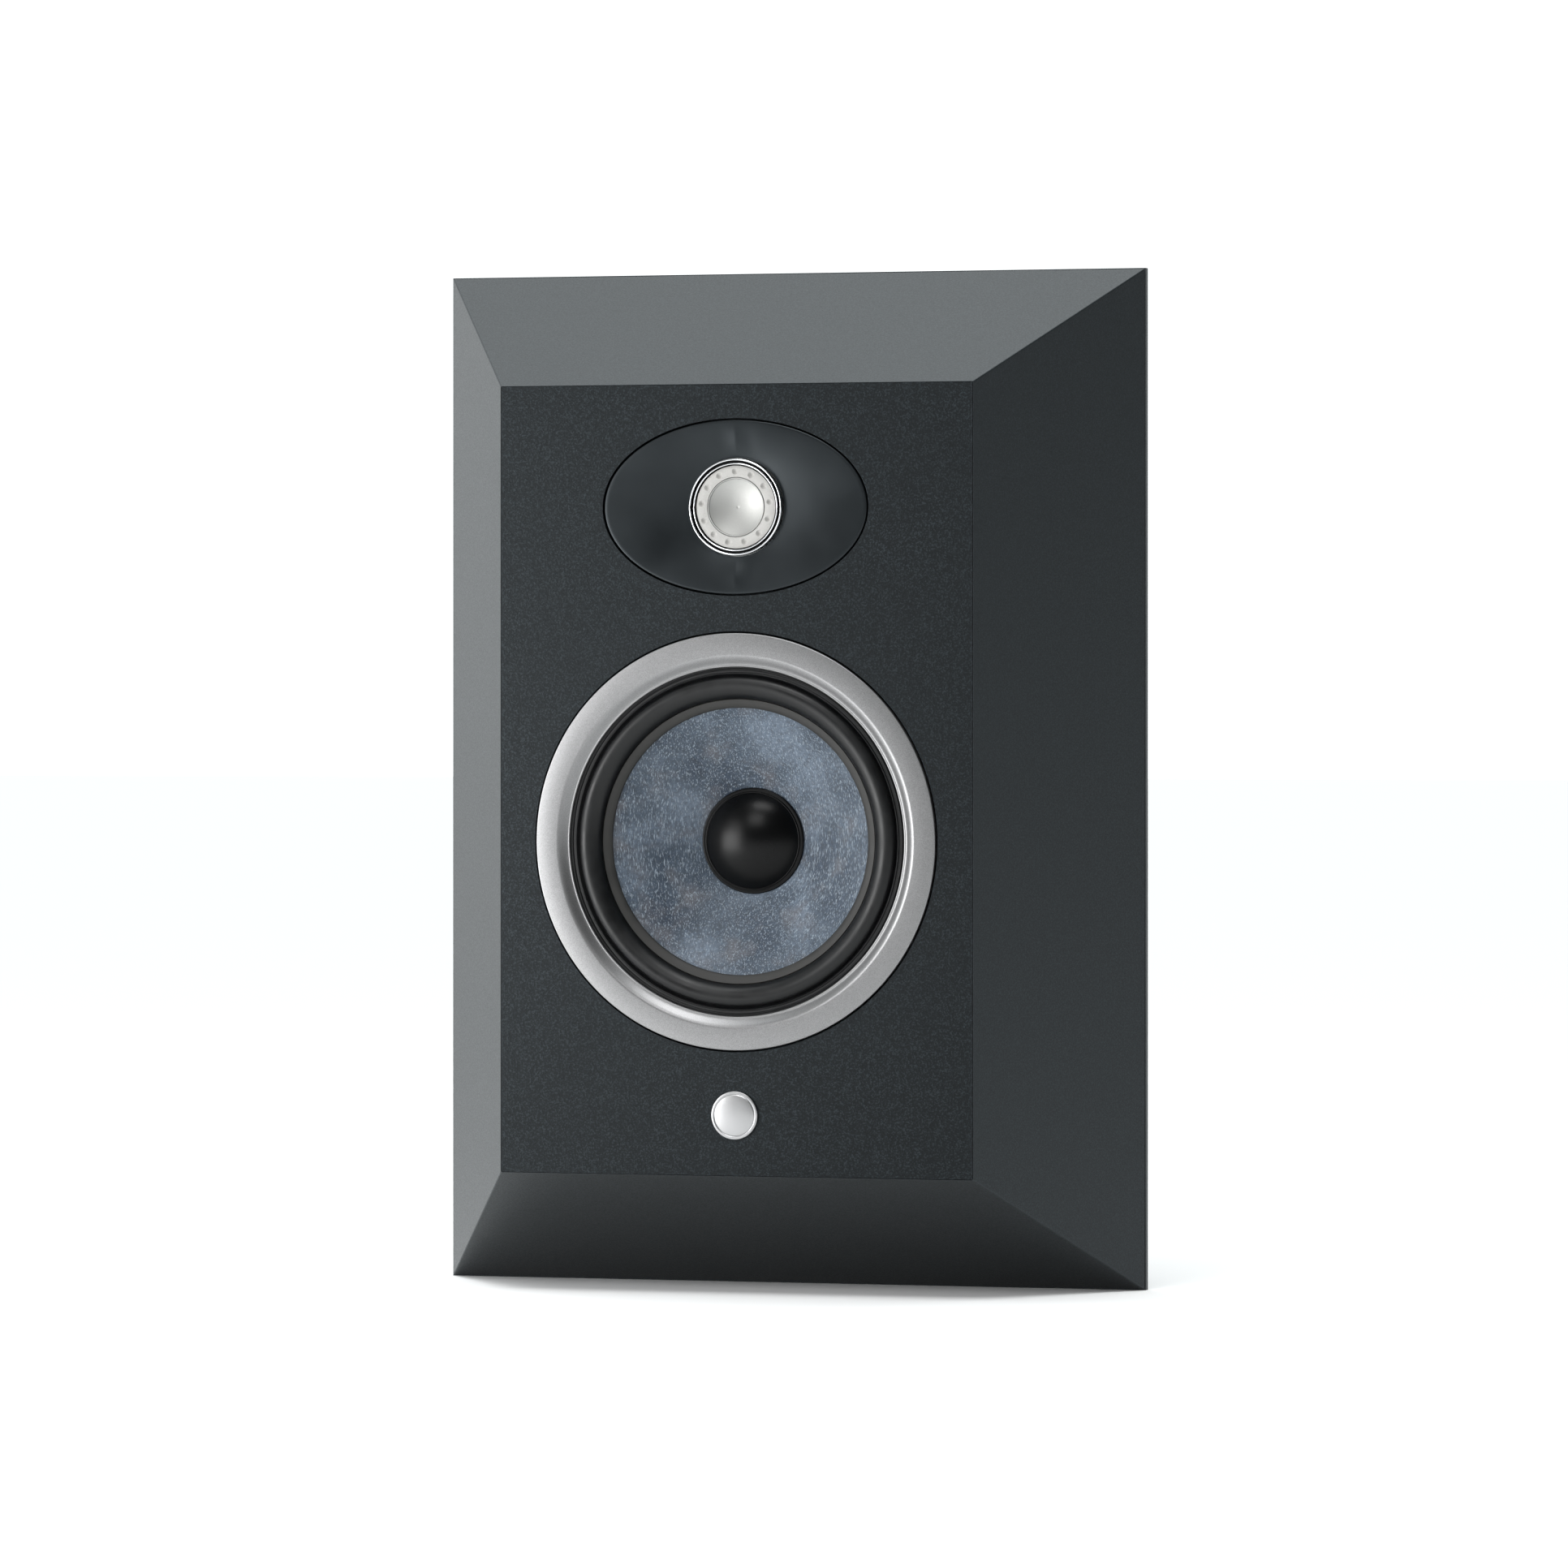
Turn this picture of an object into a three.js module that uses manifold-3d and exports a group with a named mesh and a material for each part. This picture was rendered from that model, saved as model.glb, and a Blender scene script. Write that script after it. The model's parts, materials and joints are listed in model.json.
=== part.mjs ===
// A passive two-way on-wall loudspeaker: a shallow cabinet shaped like a cut-off pyramid, with a
// woofer under a silver trim ring and an inverted-dome tweeter in an oval faceplate.
//
// Millimetres. +X is right as seen from the room, +Y points into the wall and +Z is up.
// The origin is the middle of the back panel's rear face, so the wall is the plane y = 0.

import * as THREE from 'three';
import { ConvexGeometry } from 'three/addons/geometries/ConvexGeometry.js';
import { mergeVertices } from 'three/addons/utils/BufferGeometryUtils.js';
import Module from 'manifold-3d';

const wasm = await Module();
wasm.setup();

// ---------------------------------------------------------------- driving dimensions

const GAP = 0.3; // left between neighbouring solids that touch
const FINE = 36; // sides of the large round parts
const MEDIUM = 28;
const COARSE = 20;
const SMALL = 10; // sides of screws
const OVAL = 18; // steps along half of the faceplate's outline

const CABINET = {
  backWidth: 301,
  backHeight: 420,
  frontWidth: 201,
  frontHeight: 322,
  bevelDepth: 84.5,
  rim: 3.5, // thickness of the back panel's flange, seen as a band behind the bevels
  wall: 12,
  baffle: 15,
  back: 12,
};
const FRONT_Y = -(CABINET.bevelDepth + CABINET.rim);

// Radii, and depths behind the face of the baffle.
const WOOFER = {
  z: -25.1,
  ringOuter: 84.8,
  ringInner: 71.2,
  ringProud: 1,
  flange: [3.3, 5.3],
  gasket: [5.6, 6.3],
  seatDepth: 6.6,
  seatRadius: 85.5,
  boreRadius: 73.9,
  screwCircle: 78,
  rollOuter: 67.2,
  rollInner: 58.2,
  rollHeight: 4,
  coneEdge: 57.5,
  coneSlope: 0.56,
  capRim: 21.7,
  capRimDepth: 25.6,
  capDome: 19.8,
  capRise: 7.8,
  coilInner: 18.5,
  coilOuter: 19,
  coilEnd: 56,
  windingOuter: 20.2,
  windingStart: 43,
  spiderDepth: 36.3,
  spiderOuter: 47,
  plate: [46, 51],
  magnet: [51.3, 65.3],
  yoke: [65.6, 70.6],
  plateRadius: 43,
  magnetRadius: 45,
  poleRadius: 17.8,
};

const TWEETER = {
  z: 110.9,
  halfWidth: 55.8,
  halfHeight: 35.4,
  groove: 0.7, // open line round the faceplate
  thickness: 4,
  hornRadius: 33,
  hornDepth: 1.2,
  ringOuter: 19.8,
  ringInner: 17.1,
  ledgeDepth: 2.5,
  ledgeRadius: 16,
  suspensionOuter: 16.8,
  domeRadius: 11.8,
  domeDepth: 1.5,
  domeHollow: 2.6,
  boreRadius: 31,
  plate: [4.3, 7.3],
  magnet: [7.6, 15.6],
  yoke: [15.9, 19.9],
  cup: [20.2, 34],
  plateRadius: 24,
  magnetRadius: 27,
  poleRadius: 9.2,
};

const BADGE = { z: -136.3, radius: 9.8, thickness: 1.2 };

// The terminal cup and its binding posts. y runs from the wall into the cabinet, so it is negative.
const CUP = {
  z: -132,
  flange: [96, 64],
  mouth: [76, 44],
  wall: 2.5,
  flangeFace: -0.4,
  flangeThickness: 3,
  floor: -27,
  screwX: 43.6,
  screwZ: 27.6,
};
const POST = {
  x: 13,
  studRadius: 2,
  studEnds: [-41, -9],
  collar: [-26.7, -23],
  washer: [-22.7, -21.7],
  knob: [-21.4, -7.5],
  knobRadius: 7,
  boreRadius: 2.4,
};

const HANGER = {
  z: 150,
  width: 58,
  height: 36,
  face: -2,
  thickness: 2,
  pocket: [32, 28],
  pocketDepth: 9.5,
  headRadius: 5,
  slotWidth: 5.4,
  slotRun: 12,
  screwX: 22,
};

const BOARD = { x: [-118, -58], z: [-72, 30], y: [-18.1, -16.5] };

// ---------------------------------------------------------------- materials

const finish = (color, roughness, metalness = 0) =>
  new THREE.MeshStandardMaterial({ color, roughness, metalness });

const MATERIALS = {
  vinyl: finish(0x2b2d2f, 0.55),
  mdf: finish(0x8f7455, 0.9),
  silver: finish(0xb5b5b8, 0.35, 0.9),
  chrome: finish(0xdfe2e6, 0.1, 1),
  rubber: finish(0x17181a, 0.6),
  cone: finish(0x6a737e, 0.75),
  blackPlastic: finish(0x1b1c1e, 0.4),
  redPlastic: finish(0xa01515, 0.35),
  foam: finish(0xb9b4ac, 0.95),
  dome: finish(0xc9cdd2, 0.3, 0.9),
  steel: finish(0x8c8f93, 0.35, 1),
  zinc: finish(0xa7a9a4, 0.4, 1),
  ferrite: finish(0x303133, 0.7),
  copper: finish(0xb06a3b, 0.4, 1),
  brass: finish(0xc8a552, 0.3, 1),
  kapton: finish(0xa8701f, 0.5),
  spider: finish(0xc9a53c, 0.9),
  board: finish(0x23472c, 0.6),
  wadding: finish(0xe6e6e2, 1),
  cable: finish(0x3b3c40, 0.6),
};

// ---------------------------------------------------------------- geometry helpers

/** The geometry's positions with shared vertices merged and collapsed triangles dropped. */
function weld(geometry) {
  const bare = geometry.clone();
  bare.deleteAttribute('normal');
  bare.deleteAttribute('uv');
  const merged = mergeVertices(bare, 1e-4);
  const corners = merged.index.array;
  const kept = [];
  for (let i = 0; i < corners.length; i += 3) {
    const [a, b, c] = corners.slice(i, i + 3);
    if (a !== b && b !== c && c !== a) {
      kept.push(a, b, c);
    }
  }
  merged.setIndex(kept);
  return merged;
}

function toSolid(geometry) {
  const welded = weld(geometry);
  const vertProperties = new Float32Array(welded.getAttribute('position').array);
  const triVerts = new Uint32Array(welded.index.array);
  return new wasm.Manifold(new wasm.Mesh({ numProp: 3, vertProperties, triVerts }));
}

function fromSolid(solid) {
  const mesh = solid.getMesh();
  const geometry = new THREE.BufferGeometry();
  geometry.setAttribute('position', new THREE.BufferAttribute(mesh.vertProperties, 3));
  geometry.setIndex(new THREE.BufferAttribute(mesh.triVerts, 1));
  return geometry;
}

const cut = (body, ...tools) =>
  fromSolid(tools.reduce((solid, tool) => solid.subtract(toSolid(tool)), toSolid(body)));

const join = (body, ...others) =>
  fromSolid(others.reduce((solid, other) => solid.add(toSolid(other)), toSolid(body)));

/** A solid of revolution about Y from [radius, y] points, closed unless it ends on the axis. */
function turned(profile, segments = COARSE) {
  const doubleArea = profile.reduce((sum, [r, y], i) => {
    const [nextR, nextY] = profile[(i + 1) % profile.length];
    return sum + r * nextY - nextR * y;
  }, 0);
  const ordered = doubleArea > 0 ? profile : [...profile].reverse();
  const endsOnAxis = ordered[0][0] === 0 && ordered.at(-1)[0] === 0;
  const loop = endsOnAxis ? ordered : [...ordered, ordered[0]];
  return weld(new THREE.LatheGeometry(loop.map(([r, y]) => new THREE.Vector2(r, y)), segments));
}

/** A solid bar along Y at (x, z). */
const rod = (radius, [y0, y1], x = 0, z = 0, segments = COARSE) =>
  turned([[0, y0], [radius, y0], [radius, y1], [0, y1]], segments).translate(x, 0, z);

/** A washer, tube or flat ring about Y. */
const ring = (inner, outer, [y0, y1], segments = COARSE) =>
  turned([[inner, y0], [outer, y0], [outer, y1], [inner, y1]], segments);

const box = ([x0, x1], [y0, y1], [z0, z1]) =>
  new THREE.BoxGeometry(x1 - x0, y1 - y0, z1 - z0).translate((x0 + x1) / 2, (y0 + y1) / 2, (z0 + z1) / 2);

/** An outline drawn in X and Z, extruded along Y between two planes. */
function plate(outline, [y0, y1], curveSegments = 2) {
  const options = { depth: y1 - y0, bevelEnabled: false, curveSegments };
  return new THREE.ExtrudeGeometry(outline, options).rotateX(Math.PI / 2).translate(0, y1, 0);
}

function roundedRectangle(width, height, radius) {
  const [w, h] = [width / 2, height / 2];
  const shape = new THREE.Shape();
  shape.absarc(w - radius, h - radius, radius, 0, Math.PI / 2);
  shape.absarc(-w + radius, h - radius, radius, Math.PI / 2, Math.PI);
  shape.absarc(-w + radius, -h + radius, radius, Math.PI, 1.5 * Math.PI);
  shape.absarc(w - radius, -h + radius, radius, 1.5 * Math.PI, 2 * Math.PI);
  shape.closePath();
  return shape;
}

function ellipse(halfWidth, halfHeight) {
  const shape = new THREE.Shape();
  shape.absellipse(0, 0, halfWidth, halfHeight, 0, 2 * Math.PI);
  return shape;
}

/** A round wire of six sides through the given points. */
function wire(points, radius, steps) {
  const section = new THREE.Shape();
  section.absarc(0, 0, radius, 0, 2 * Math.PI);
  const extrudePath = new THREE.CatmullRomCurve3(points.map((p) => new THREE.Vector3(...p)));
  const options = { steps, extrudePath, curveSegments: 3, bevelEnabled: false };
  return weld(new THREE.ExtrudeGeometry(section, options));
}

/** A pan-head screw along Y: the head lies on headY and the shank runs to tipY. */
function screw(headRadius, headHeight, shankRadius, headY, tipY) {
  const way = Math.sign(tipY - headY);
  const shoulder = headRadius * 0.7;
  return turned([
    [0, headY - way * headHeight],
    [shoulder, headY - way * headHeight],
    [headRadius, headY - way * headHeight * 0.4],
    [headRadius, headY],
    [shankRadius, headY],
    [shankRadius, tipY - way * shankRadius],
    [0, tipY],
  ], SMALL);
}

function piece(name, geometry, material, position = [0, 0, 0]) {
  const mesh = new THREE.Mesh(geometry, material);
  mesh.name = name;
  mesh.position.set(...position);
  return mesh;
}

function assembly(position, pieces) {
  const group = new THREE.Group();
  group.position.set(...position);
  group.add(...pieces);
  return group;
}

const quarterTurns = (start) => [0, 1, 2, 3].map((i) => start + (i * Math.PI) / 2);

// ---------------------------------------------------------------- cabinet

const WALL_REAR_Y = -CABINET.rim - GAP;
const MITRE_GAP = 0.25;
const SLOPE_X = (CABINET.backWidth - CABINET.frontWidth) / 2 / CABINET.bevelDepth;
const SLOPE_Z = (CABINET.backHeight - CABINET.frontHeight) / 2 / CABINET.bevelDepth;
const WALL_X = CABINET.wall * Math.hypot(1, SLOPE_X); // the bevelled boards' thickness along X
const WALL_Z = CABINET.wall * Math.hypot(1, SLOPE_Z);

const halfWidth = (y) => CABINET.frontWidth / 2 + SLOPE_X * (y - FRONT_Y);
const halfHeight = (y) => CABINET.frontHeight / 2 + SLOPE_Z * (y - FRONT_Y);

/** One bevelled board, mitred all round. It faces along +-X or +-Z. */
function bevelledBoard(axis, side) {
  const baffleRear = FRONT_Y + CABINET.baffle;
  const edges = [[FRONT_Y, 0], [WALL_REAR_Y, 0], [baffleRear, 1], [WALL_REAR_Y, 1]];
  const corners = [];
  for (const [y, inner] of edges) {
    const x = halfWidth(y) - inner * WALL_X;
    const z = halfHeight(y) - inner * WALL_Z;
    for (const end of [-1, 1]) {
      const corner = axis === 'x'
        ? [side * x, y, end * (z - MITRE_GAP)]
        : [end * (x - MITRE_GAP), y, side * z];
      corners.push(new THREE.Vector3(...corner));
    }
  }
  return weld(new ConvexGeometry(corners));
}

/** The front board in the baffle's own frame, y = 0 on its face, with the seats of both drivers. */
function frontBaffle() {
  const seam = 0.35;
  const corners = [];
  for (const [depth, inner] of [[0, 0], [CABINET.baffle, 1]]) {
    const x = halfWidth(FRONT_Y + depth) - inner * WALL_X - seam;
    const z = halfHeight(FRONT_Y + depth) - inner * WALL_Z - seam;
    for (const [sx, sz] of [[-1, -1], [-1, 1], [1, -1], [1, 1]]) {
      corners.push(new THREE.Vector3(sx * x, depth, sz * z));
    }
  }
  const through = [-1, CABINET.baffle + 1];
  const oval = ellipse(TWEETER.halfWidth + TWEETER.groove, TWEETER.halfHeight + TWEETER.groove);
  const pilotHoles = quarterTurns(Math.PI / 4).map((angle) => rod(
    2.1,
    through,
    WOOFER.screwCircle * Math.cos(angle),
    WOOFER.z + WOOFER.screwCircle * Math.sin(angle),
    SMALL,
  ));
  return cut(
    new ConvexGeometry(corners),
    rod(WOOFER.seatRadius, [-1, WOOFER.seatDepth], 0, WOOFER.z, FINE),
    rod(WOOFER.boreRadius, through, 0, WOOFER.z, FINE),
    plate(oval, [-1, TWEETER.thickness + GAP], OVAL).translate(0, 0, TWEETER.z),
    rod(TWEETER.boreRadius, through, 0, TWEETER.z, MEDIUM),
    rod(1.6, [-1, 6], 0, BADGE.z, SMALL),
    ...pilotHoles,
  );
}

/** The rebated back panel, with the openings for the terminal cup and the hanger's pocket. */
function backPanel() {
  const { backWidth, backHeight, rim, back } = CABINET;
  const plugX = halfWidth(-back) - WALL_X - 2 * GAP;
  const plugZ = halfHeight(-back) - WALL_Z - 2 * GAP;
  const board = join(
    box([-backWidth / 2, backWidth / 2], [-rim, 0], [-backHeight / 2, backHeight / 2]),
    box([-plugX, plugX], [-back, -rim + 1], [-plugZ, plugZ]),
  );
  const around = 2 * GAP;
  const cupBody = CUP.mouth.map((side) => side + 2 * CUP.wall + around);
  const cupFlange = roundedRectangle(CUP.flange[0] + around, CUP.flange[1] + around, 6);
  const cupSeat = CUP.flangeFace - CUP.flangeThickness - GAP;
  const hangerSeat = HANGER.face - HANGER.thickness - GAP;
  const hangerOutline = roundedRectangle(HANGER.width + around, HANGER.height + around, 4);
  const pilots = [
    ...cupScrewPlaces().map(([x, z]) => rod(1.5, [-11, 1], x, CUP.z + z, SMALL)),
    ...[-HANGER.screwX, HANGER.screwX].map((x) => rod(1.8, [-11, 1], x, HANGER.z, SMALL)),
  ];
  return cut(
    board,
    plate(cupFlange, [cupSeat, 1]).translate(0, 0, CUP.z),
    plate(roundedRectangle(cupBody[0], cupBody[1], 4), [-back - 1, 1]).translate(0, 0, CUP.z),
    plate(hangerOutline, [hangerSeat, 1]).translate(0, 0, HANGER.z),
    plate(roundedRectangle(...HANGER.pocket, 4), [-HANGER.pocketDepth, 1]).translate(0, 0, HANGER.z),
    ...pilots,
  );
}

/** A plain round badge on a pin pressed into the baffle. */
function badge() {
  const { radius, thickness } = BADGE;
  return turned([
    [0, -GAP - thickness],
    [radius * 0.86, -GAP - thickness * 0.85],
    [radius, -GAP - thickness * 0.4],
    [radius, -GAP],
    [1.2, -GAP],
    [1.2, 5],
    [0, 5],
  ], COARSE);
}

/** Loose damping fibre laid over the upper back panel. */
function wadding() {
  const [front, rear] = [-28, -CABINET.back - 1.5];
  return plate(roundedRectangle(220, 112, 18), [front, rear]).translate(0, 0, 118);
}

function cabinet() {
  return assembly([0, 0, 0], [
    piece('left_side_panel', bevelledBoard('x', -1), MATERIALS.vinyl),
    piece('right_side_panel', bevelledBoard('x', 1), MATERIALS.vinyl),
    piece('top_panel', bevelledBoard('z', 1), MATERIALS.vinyl),
    piece('bottom_panel', bevelledBoard('z', -1), MATERIALS.vinyl),
    piece('front_baffle', frontBaffle(), MATERIALS.vinyl, [0, FRONT_Y, 0]),
    piece('back_panel', backPanel(), MATERIALS.mdf),
    piece('badge', badge(), MATERIALS.chrome, [0, FRONT_Y, BADGE.z]),
    piece('acoustic_wadding', wadding(), MATERIALS.wadding),
  ]);
}

// ---------------------------------------------------------------- woofer

/** Depth of the cone's front surface at a radius. */
const coneDepth = (radius) => WOOFER.capRimDepth - WOOFER.coneSlope * (radius - WOOFER.capRim);

/** A hollow channel that clips over the flange and hides its screws, with a rolled inner lip. */
function wooferTrimRing() {
  const { ringOuter, ringInner, ringProud, flange } = WOOFER;
  const lip = 2.6;
  const skin = 1.6;
  const foot = flange[0] - 0.4;
  const rolledLip = [0, 1, 2, 3].map((i) => {
    const angle = (i * Math.PI) / 6;
    return [ringInner + lip * (1 - Math.sin(angle)), -ringProud + lip * (1 - Math.cos(angle))];
  });
  return turned([
    [ringOuter, foot],
    [ringOuter, -ringProud + 0.7],
    [ringOuter - 0.7, -ringProud],
    ...rolledLip,
    [ringInner + 1.4, -ringProud + lip],
    [ringInner + lip, -ringProud + skin],
    [ringOuter - skin, -ringProud + skin],
    [ringOuter - skin, foot],
  ], FINE);
}

/** Stamped steel frame: flange, six spokes, the spider's ledge and the motor's seat. */
function wooferBasket() {
  const { flange, plate: topPlate } = WOOFER;
  const bottom = topPlate[0] - GAP;
  const shell = turned([
    [67, flange[0]],
    [84.4, flange[0]],
    [84.4, flange[1]],
    [73, flange[1]],
    [72.6, 12],
    [50, 38.9],
    [48, bottom],
    [24, bottom],
    [24, bottom - 2],
    [43, bottom - 2],
    [43, 37.3],
    [47.6, 37.3],
    [70.2, 11.2],
    [70.5, flange[1]],
    [67, flange[1]],
  ], MEDIUM);
  const windows = [0, 1, 2, 3, 4, 5].map((i) => {
    const middle = (i * Math.PI) / 3;
    const half = Math.PI / 8;
    const sector = new THREE.Shape();
    sector.absarc(0, 0, 80, middle - half, middle + half);
    sector.absarc(0, 0, 40, middle + half, middle - half, true);
    sector.closePath();
    return plate(sector, [14, 35]);
  });
  return cut(shell, ...windows, ...wooferScrewHoles(flange[0] - 1, flange[1] + 1));
}

function wooferScrewPlaces() {
  const radius = WOOFER.screwCircle;
  return quarterTurns(Math.PI / 4).map((a) => [radius * Math.cos(a), radius * Math.sin(a)]);
}

const wooferScrewHoles = (y0, y1) => wooferScrewPlaces().map(([x, z]) => rod(2.2, [y0, y1], x, z, SMALL));

/** Rubber surround: a land under the trim ring, a half roll and a lip glued to the cone. */
function wooferSurround() {
  const { rollOuter, rollInner, rollHeight, coneEdge } = WOOFER;
  const thickness = 0.8;
  const middle = (rollOuter + rollInner) / 2;
  const half = (rollOuter - rollInner) / 2;
  const lipInner = 54.4;
  const steps = 5;
  const roll = (shrink) => Array.from({ length: steps + 1 }, (_, i) => {
    const angle = (i * Math.PI) / steps;
    const rise = (rollHeight - shrink) * Math.sin(angle);
    return [middle + (half - shrink * 0.8) * Math.cos(angle), 4 - Math.cos(angle) - rise];
  });
  const onCone = (radius, lift) => [radius, coneDepth(radius) - GAP - lift];
  return turned([
    [73.2, 2.2],
    ...roll(0),
    onCone(lipInner, thickness),
    onCone(lipInner, 0),
    onCone(coneEdge - 0.4, 0),
    ...roll(thickness).reverse(),
    [73.2, 3],
  ], MEDIUM);
}

/** Straight-sided fibre cone with a collar at its neck that holds the coil former. */
function wooferCone() {
  const { coneEdge, coilOuter } = WOOFER;
  const thickness = 1.1;
  const neck = coilOuter + GAP;
  return turned([
    [coneEdge, coneDepth(coneEdge)],
    [40, coneDepth(40)],
    [neck, coneDepth(neck)],
    [neck, 30],
    [neck + 1, 30],
    [neck + 1.2, coneDepth(neck + 1.2) + thickness],
    [40, coneDepth(40) + thickness],
    [coneEdge, coneDepth(coneEdge) + thickness],
  ], MEDIUM);
}

function wooferDustCap() {
  const { capRim, capRimDepth, capDome, capRise } = WOOFER;
  const back = capRimDepth - GAP;
  const skin = 0.7;
  const base = back - skin - 0.3;
  const dome = (radius, rise, depth) => Array.from({ length: 5 }, (_, i) => {
    const share = 1 - i / 4;
    return [radius * share, depth - rise * (1 - share * share)];
  });
  const inside = dome(capDome - skin, capRise, base + skin).reverse();
  return turned([
    ...inside,
    [capRim, back],
    [capRim, back - skin],
    ...dome(capDome, capRise, base),
  ], MEDIUM);
}

/** Corrugated cloth disc that centres the coil. */
function wooferSpider() {
  const { spiderDepth, spiderOuter, coilOuter } = WOOFER;
  const thickness = 0.7;
  const waves = 3;
  const [start, end] = [22, 43];
  const steps = waves * 3;
  const line = (shift) => [
    [coilOuter + GAP, spiderDepth + shift],
    ...Array.from({ length: steps + 1 }, (_, i) => {
      const share = i / steps;
      const wave = 1.2 * Math.sin(waves * 2 * Math.PI * share);
      return [start + (end - start) * share, spiderDepth + shift + wave];
    }),
    [spiderOuter, spiderDepth + shift],
  ];
  return turned([...line(0), ...line(thickness).reverse()], COARSE);
}

function wooferYoke() {
  const { yoke, poleRadius, plate: topPlate, plateRadius } = WOOFER;
  const vent = 5;
  const poleTop = topPlate[0] - 1;
  return turned([
    [vent, poleTop],
    [poleRadius, poleTop],
    [poleRadius, yoke[0]],
    [plateRadius, yoke[0]],
    [plateRadius, yoke[1]],
    [vent, yoke[1]],
  ], MEDIUM);
}

/** A fibre strip on the basket's edge with two solder tabs. */
function tagStrip() {
  const strip = box([-64, -50.2], [40.4, 42], [-9, 9]);
  const tabs = [-5, 5].map((z) => box([-69, -60], [40.8, 41.6], [z - 1.6, z + 1.6]));
  return join(strip, ...tabs);
}

/** A woven lead that loops from a tab through a basket window to the back of the cone. */
function tinselLead(side) {
  const z = 5 * side;
  return wire([
    [-60.5, 39.8, z],
    [-60.5, 34, z],
    [-56, 29, z * 1.1],
    [-48, 27.5, z * 1.2],
    [-41, 25, z * 1.2],
    [-37.5, 20.2, z * 1.2],
  ], 0.6, 12);
}

function woofer() {
  const { plate: topPlate, magnet, plateRadius, magnetRadius, gasket } = WOOFER;
  const { coilInner, coilOuter, coilEnd, windingOuter, windingStart } = WOOFER;
  const seal = cut(ring(74.6, 84.2, gasket, MEDIUM), ...wooferScrewHoles(gasket[0] - 1, gasket[1] + 1));
  const former = ring(coilInner, coilOuter, [26.2, coilEnd], MEDIUM);
  const winding = ring(coilOuter + GAP, windingOuter, [windingStart, coilEnd], MEDIUM);
  const screws = wooferScrewPlaces().map(([x, z], i) => piece(
    `woofer_screw_${i + 1}`,
    screw(3.4, 1.8, 1.8, WOOFER.flange[0] - GAP, 14),
    MATERIALS.steel,
    [x, 0, z],
  ));
  return assembly([0, FRONT_Y, WOOFER.z], [
    piece('woofer_trim_ring', wooferTrimRing(), MATERIALS.silver),
    piece('woofer_gasket', seal, MATERIALS.foam),
    piece('woofer_basket', wooferBasket(), MATERIALS.blackPlastic),
    piece('woofer_surround', wooferSurround(), MATERIALS.rubber),
    piece('woofer_cone', wooferCone(), MATERIALS.cone),
    piece('woofer_dust_cap', wooferDustCap(), MATERIALS.rubber),
    piece('woofer_coil_former', former, MATERIALS.kapton),
    piece('woofer_coil_winding', winding, MATERIALS.copper),
    piece('woofer_spider', wooferSpider(), MATERIALS.spider),
    piece('woofer_top_plate', ring(21, plateRadius, topPlate, MEDIUM), MATERIALS.zinc),
    piece('woofer_magnet', ring(27, magnetRadius, magnet, MEDIUM), MATERIALS.ferrite),
    piece('woofer_yoke', wooferYoke(), MATERIALS.zinc),
    piece('woofer_tag_strip', tagStrip(), MATERIALS.kapton),
    piece('tinsel_lead_upper', tinselLead(1), MATERIALS.copper),
    piece('tinsel_lead_lower', tinselLead(-1), MATERIALS.copper),
    ...screws,
  ]);
}

// ---------------------------------------------------------------- tweeter

/** Oval plate with a shallow horn and a stepped bore for the trim ring and the suspension. */
function tweeterFaceplate() {
  const { halfWidth: a, halfHeight: b, thickness, hornRadius, hornDepth } = TWEETER;
  const { ringOuter, ledgeDepth, ledgeRadius } = TWEETER;
  const horn = turned([
    [0, -1],
    [hornRadius + 5, -1],
    [hornRadius, 0],
    [ringOuter, hornDepth],
    [0, hornDepth],
  ], MEDIUM);
  return cut(
    plate(ellipse(a, b), [0, thickness], OVAL),
    horn,
    rod(ringOuter + GAP, [-1, ledgeDepth], 0, 0, MEDIUM),
    rod(ledgeRadius, [-1, thickness + 1], 0, 0, MEDIUM),
  );
}

/** Two raised beads with a groove between them. */
function tweeterTrimRing() {
  const { ringInner, ringOuter, ledgeDepth } = TWEETER;
  const middle = (ringInner + ringOuter) / 2;
  return turned([
    [ringInner, ledgeDepth - GAP],
    [ringInner, 1],
    [ringInner + 0.6, 0.6],
    [middle - 0.3, 1],
    [middle - 0.2, 1.5],
    [middle + 0.2, 1.5],
    [middle + 0.3, 0.8],
    [ringOuter - 0.5, 0.4],
    [ringOuter, 0.8],
    [ringOuter, ledgeDepth - GAP],
  ], MEDIUM);
}

function tweeterSuspension() {
  const { domeRadius, suspensionOuter, ledgeDepth } = TWEETER;
  const back = ledgeDepth - GAP;
  return turned([
    [domeRadius + 0.4, 1.4],
    [14.5, 1.1],
    [suspensionOuter, 1.4],
    [suspensionOuter, back],
    [domeRadius + 0.4, back],
  ], MEDIUM);
}

/** Inverted metal dome: a shallow dish. */
function tweeterDome() {
  const { domeRadius, domeDepth, domeHollow } = TWEETER;
  const skin = 0.5;
  const dish = (radius, hollow, depth) => Array.from({ length: 5 }, (_, i) => {
    const share = i / 4;
    return [radius * share, depth + hollow * (1 - share * share)];
  });
  return turned([
    ...dish(domeRadius, domeHollow, domeDepth),
    ...dish(domeRadius, domeHollow, domeDepth + skin).reverse(),
  ], COARSE);
}

function tweeterYoke() {
  const { yoke, poleRadius, plateRadius } = TWEETER;
  const vent = 3;
  const poleTop = 6;
  return turned([
    [vent, poleTop],
    [poleRadius, poleTop],
    [poleRadius, yoke[0]],
    [plateRadius, yoke[0]],
    [plateRadius, yoke[1]],
    [vent, yoke[1]],
  ], COARSE);
}

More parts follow.
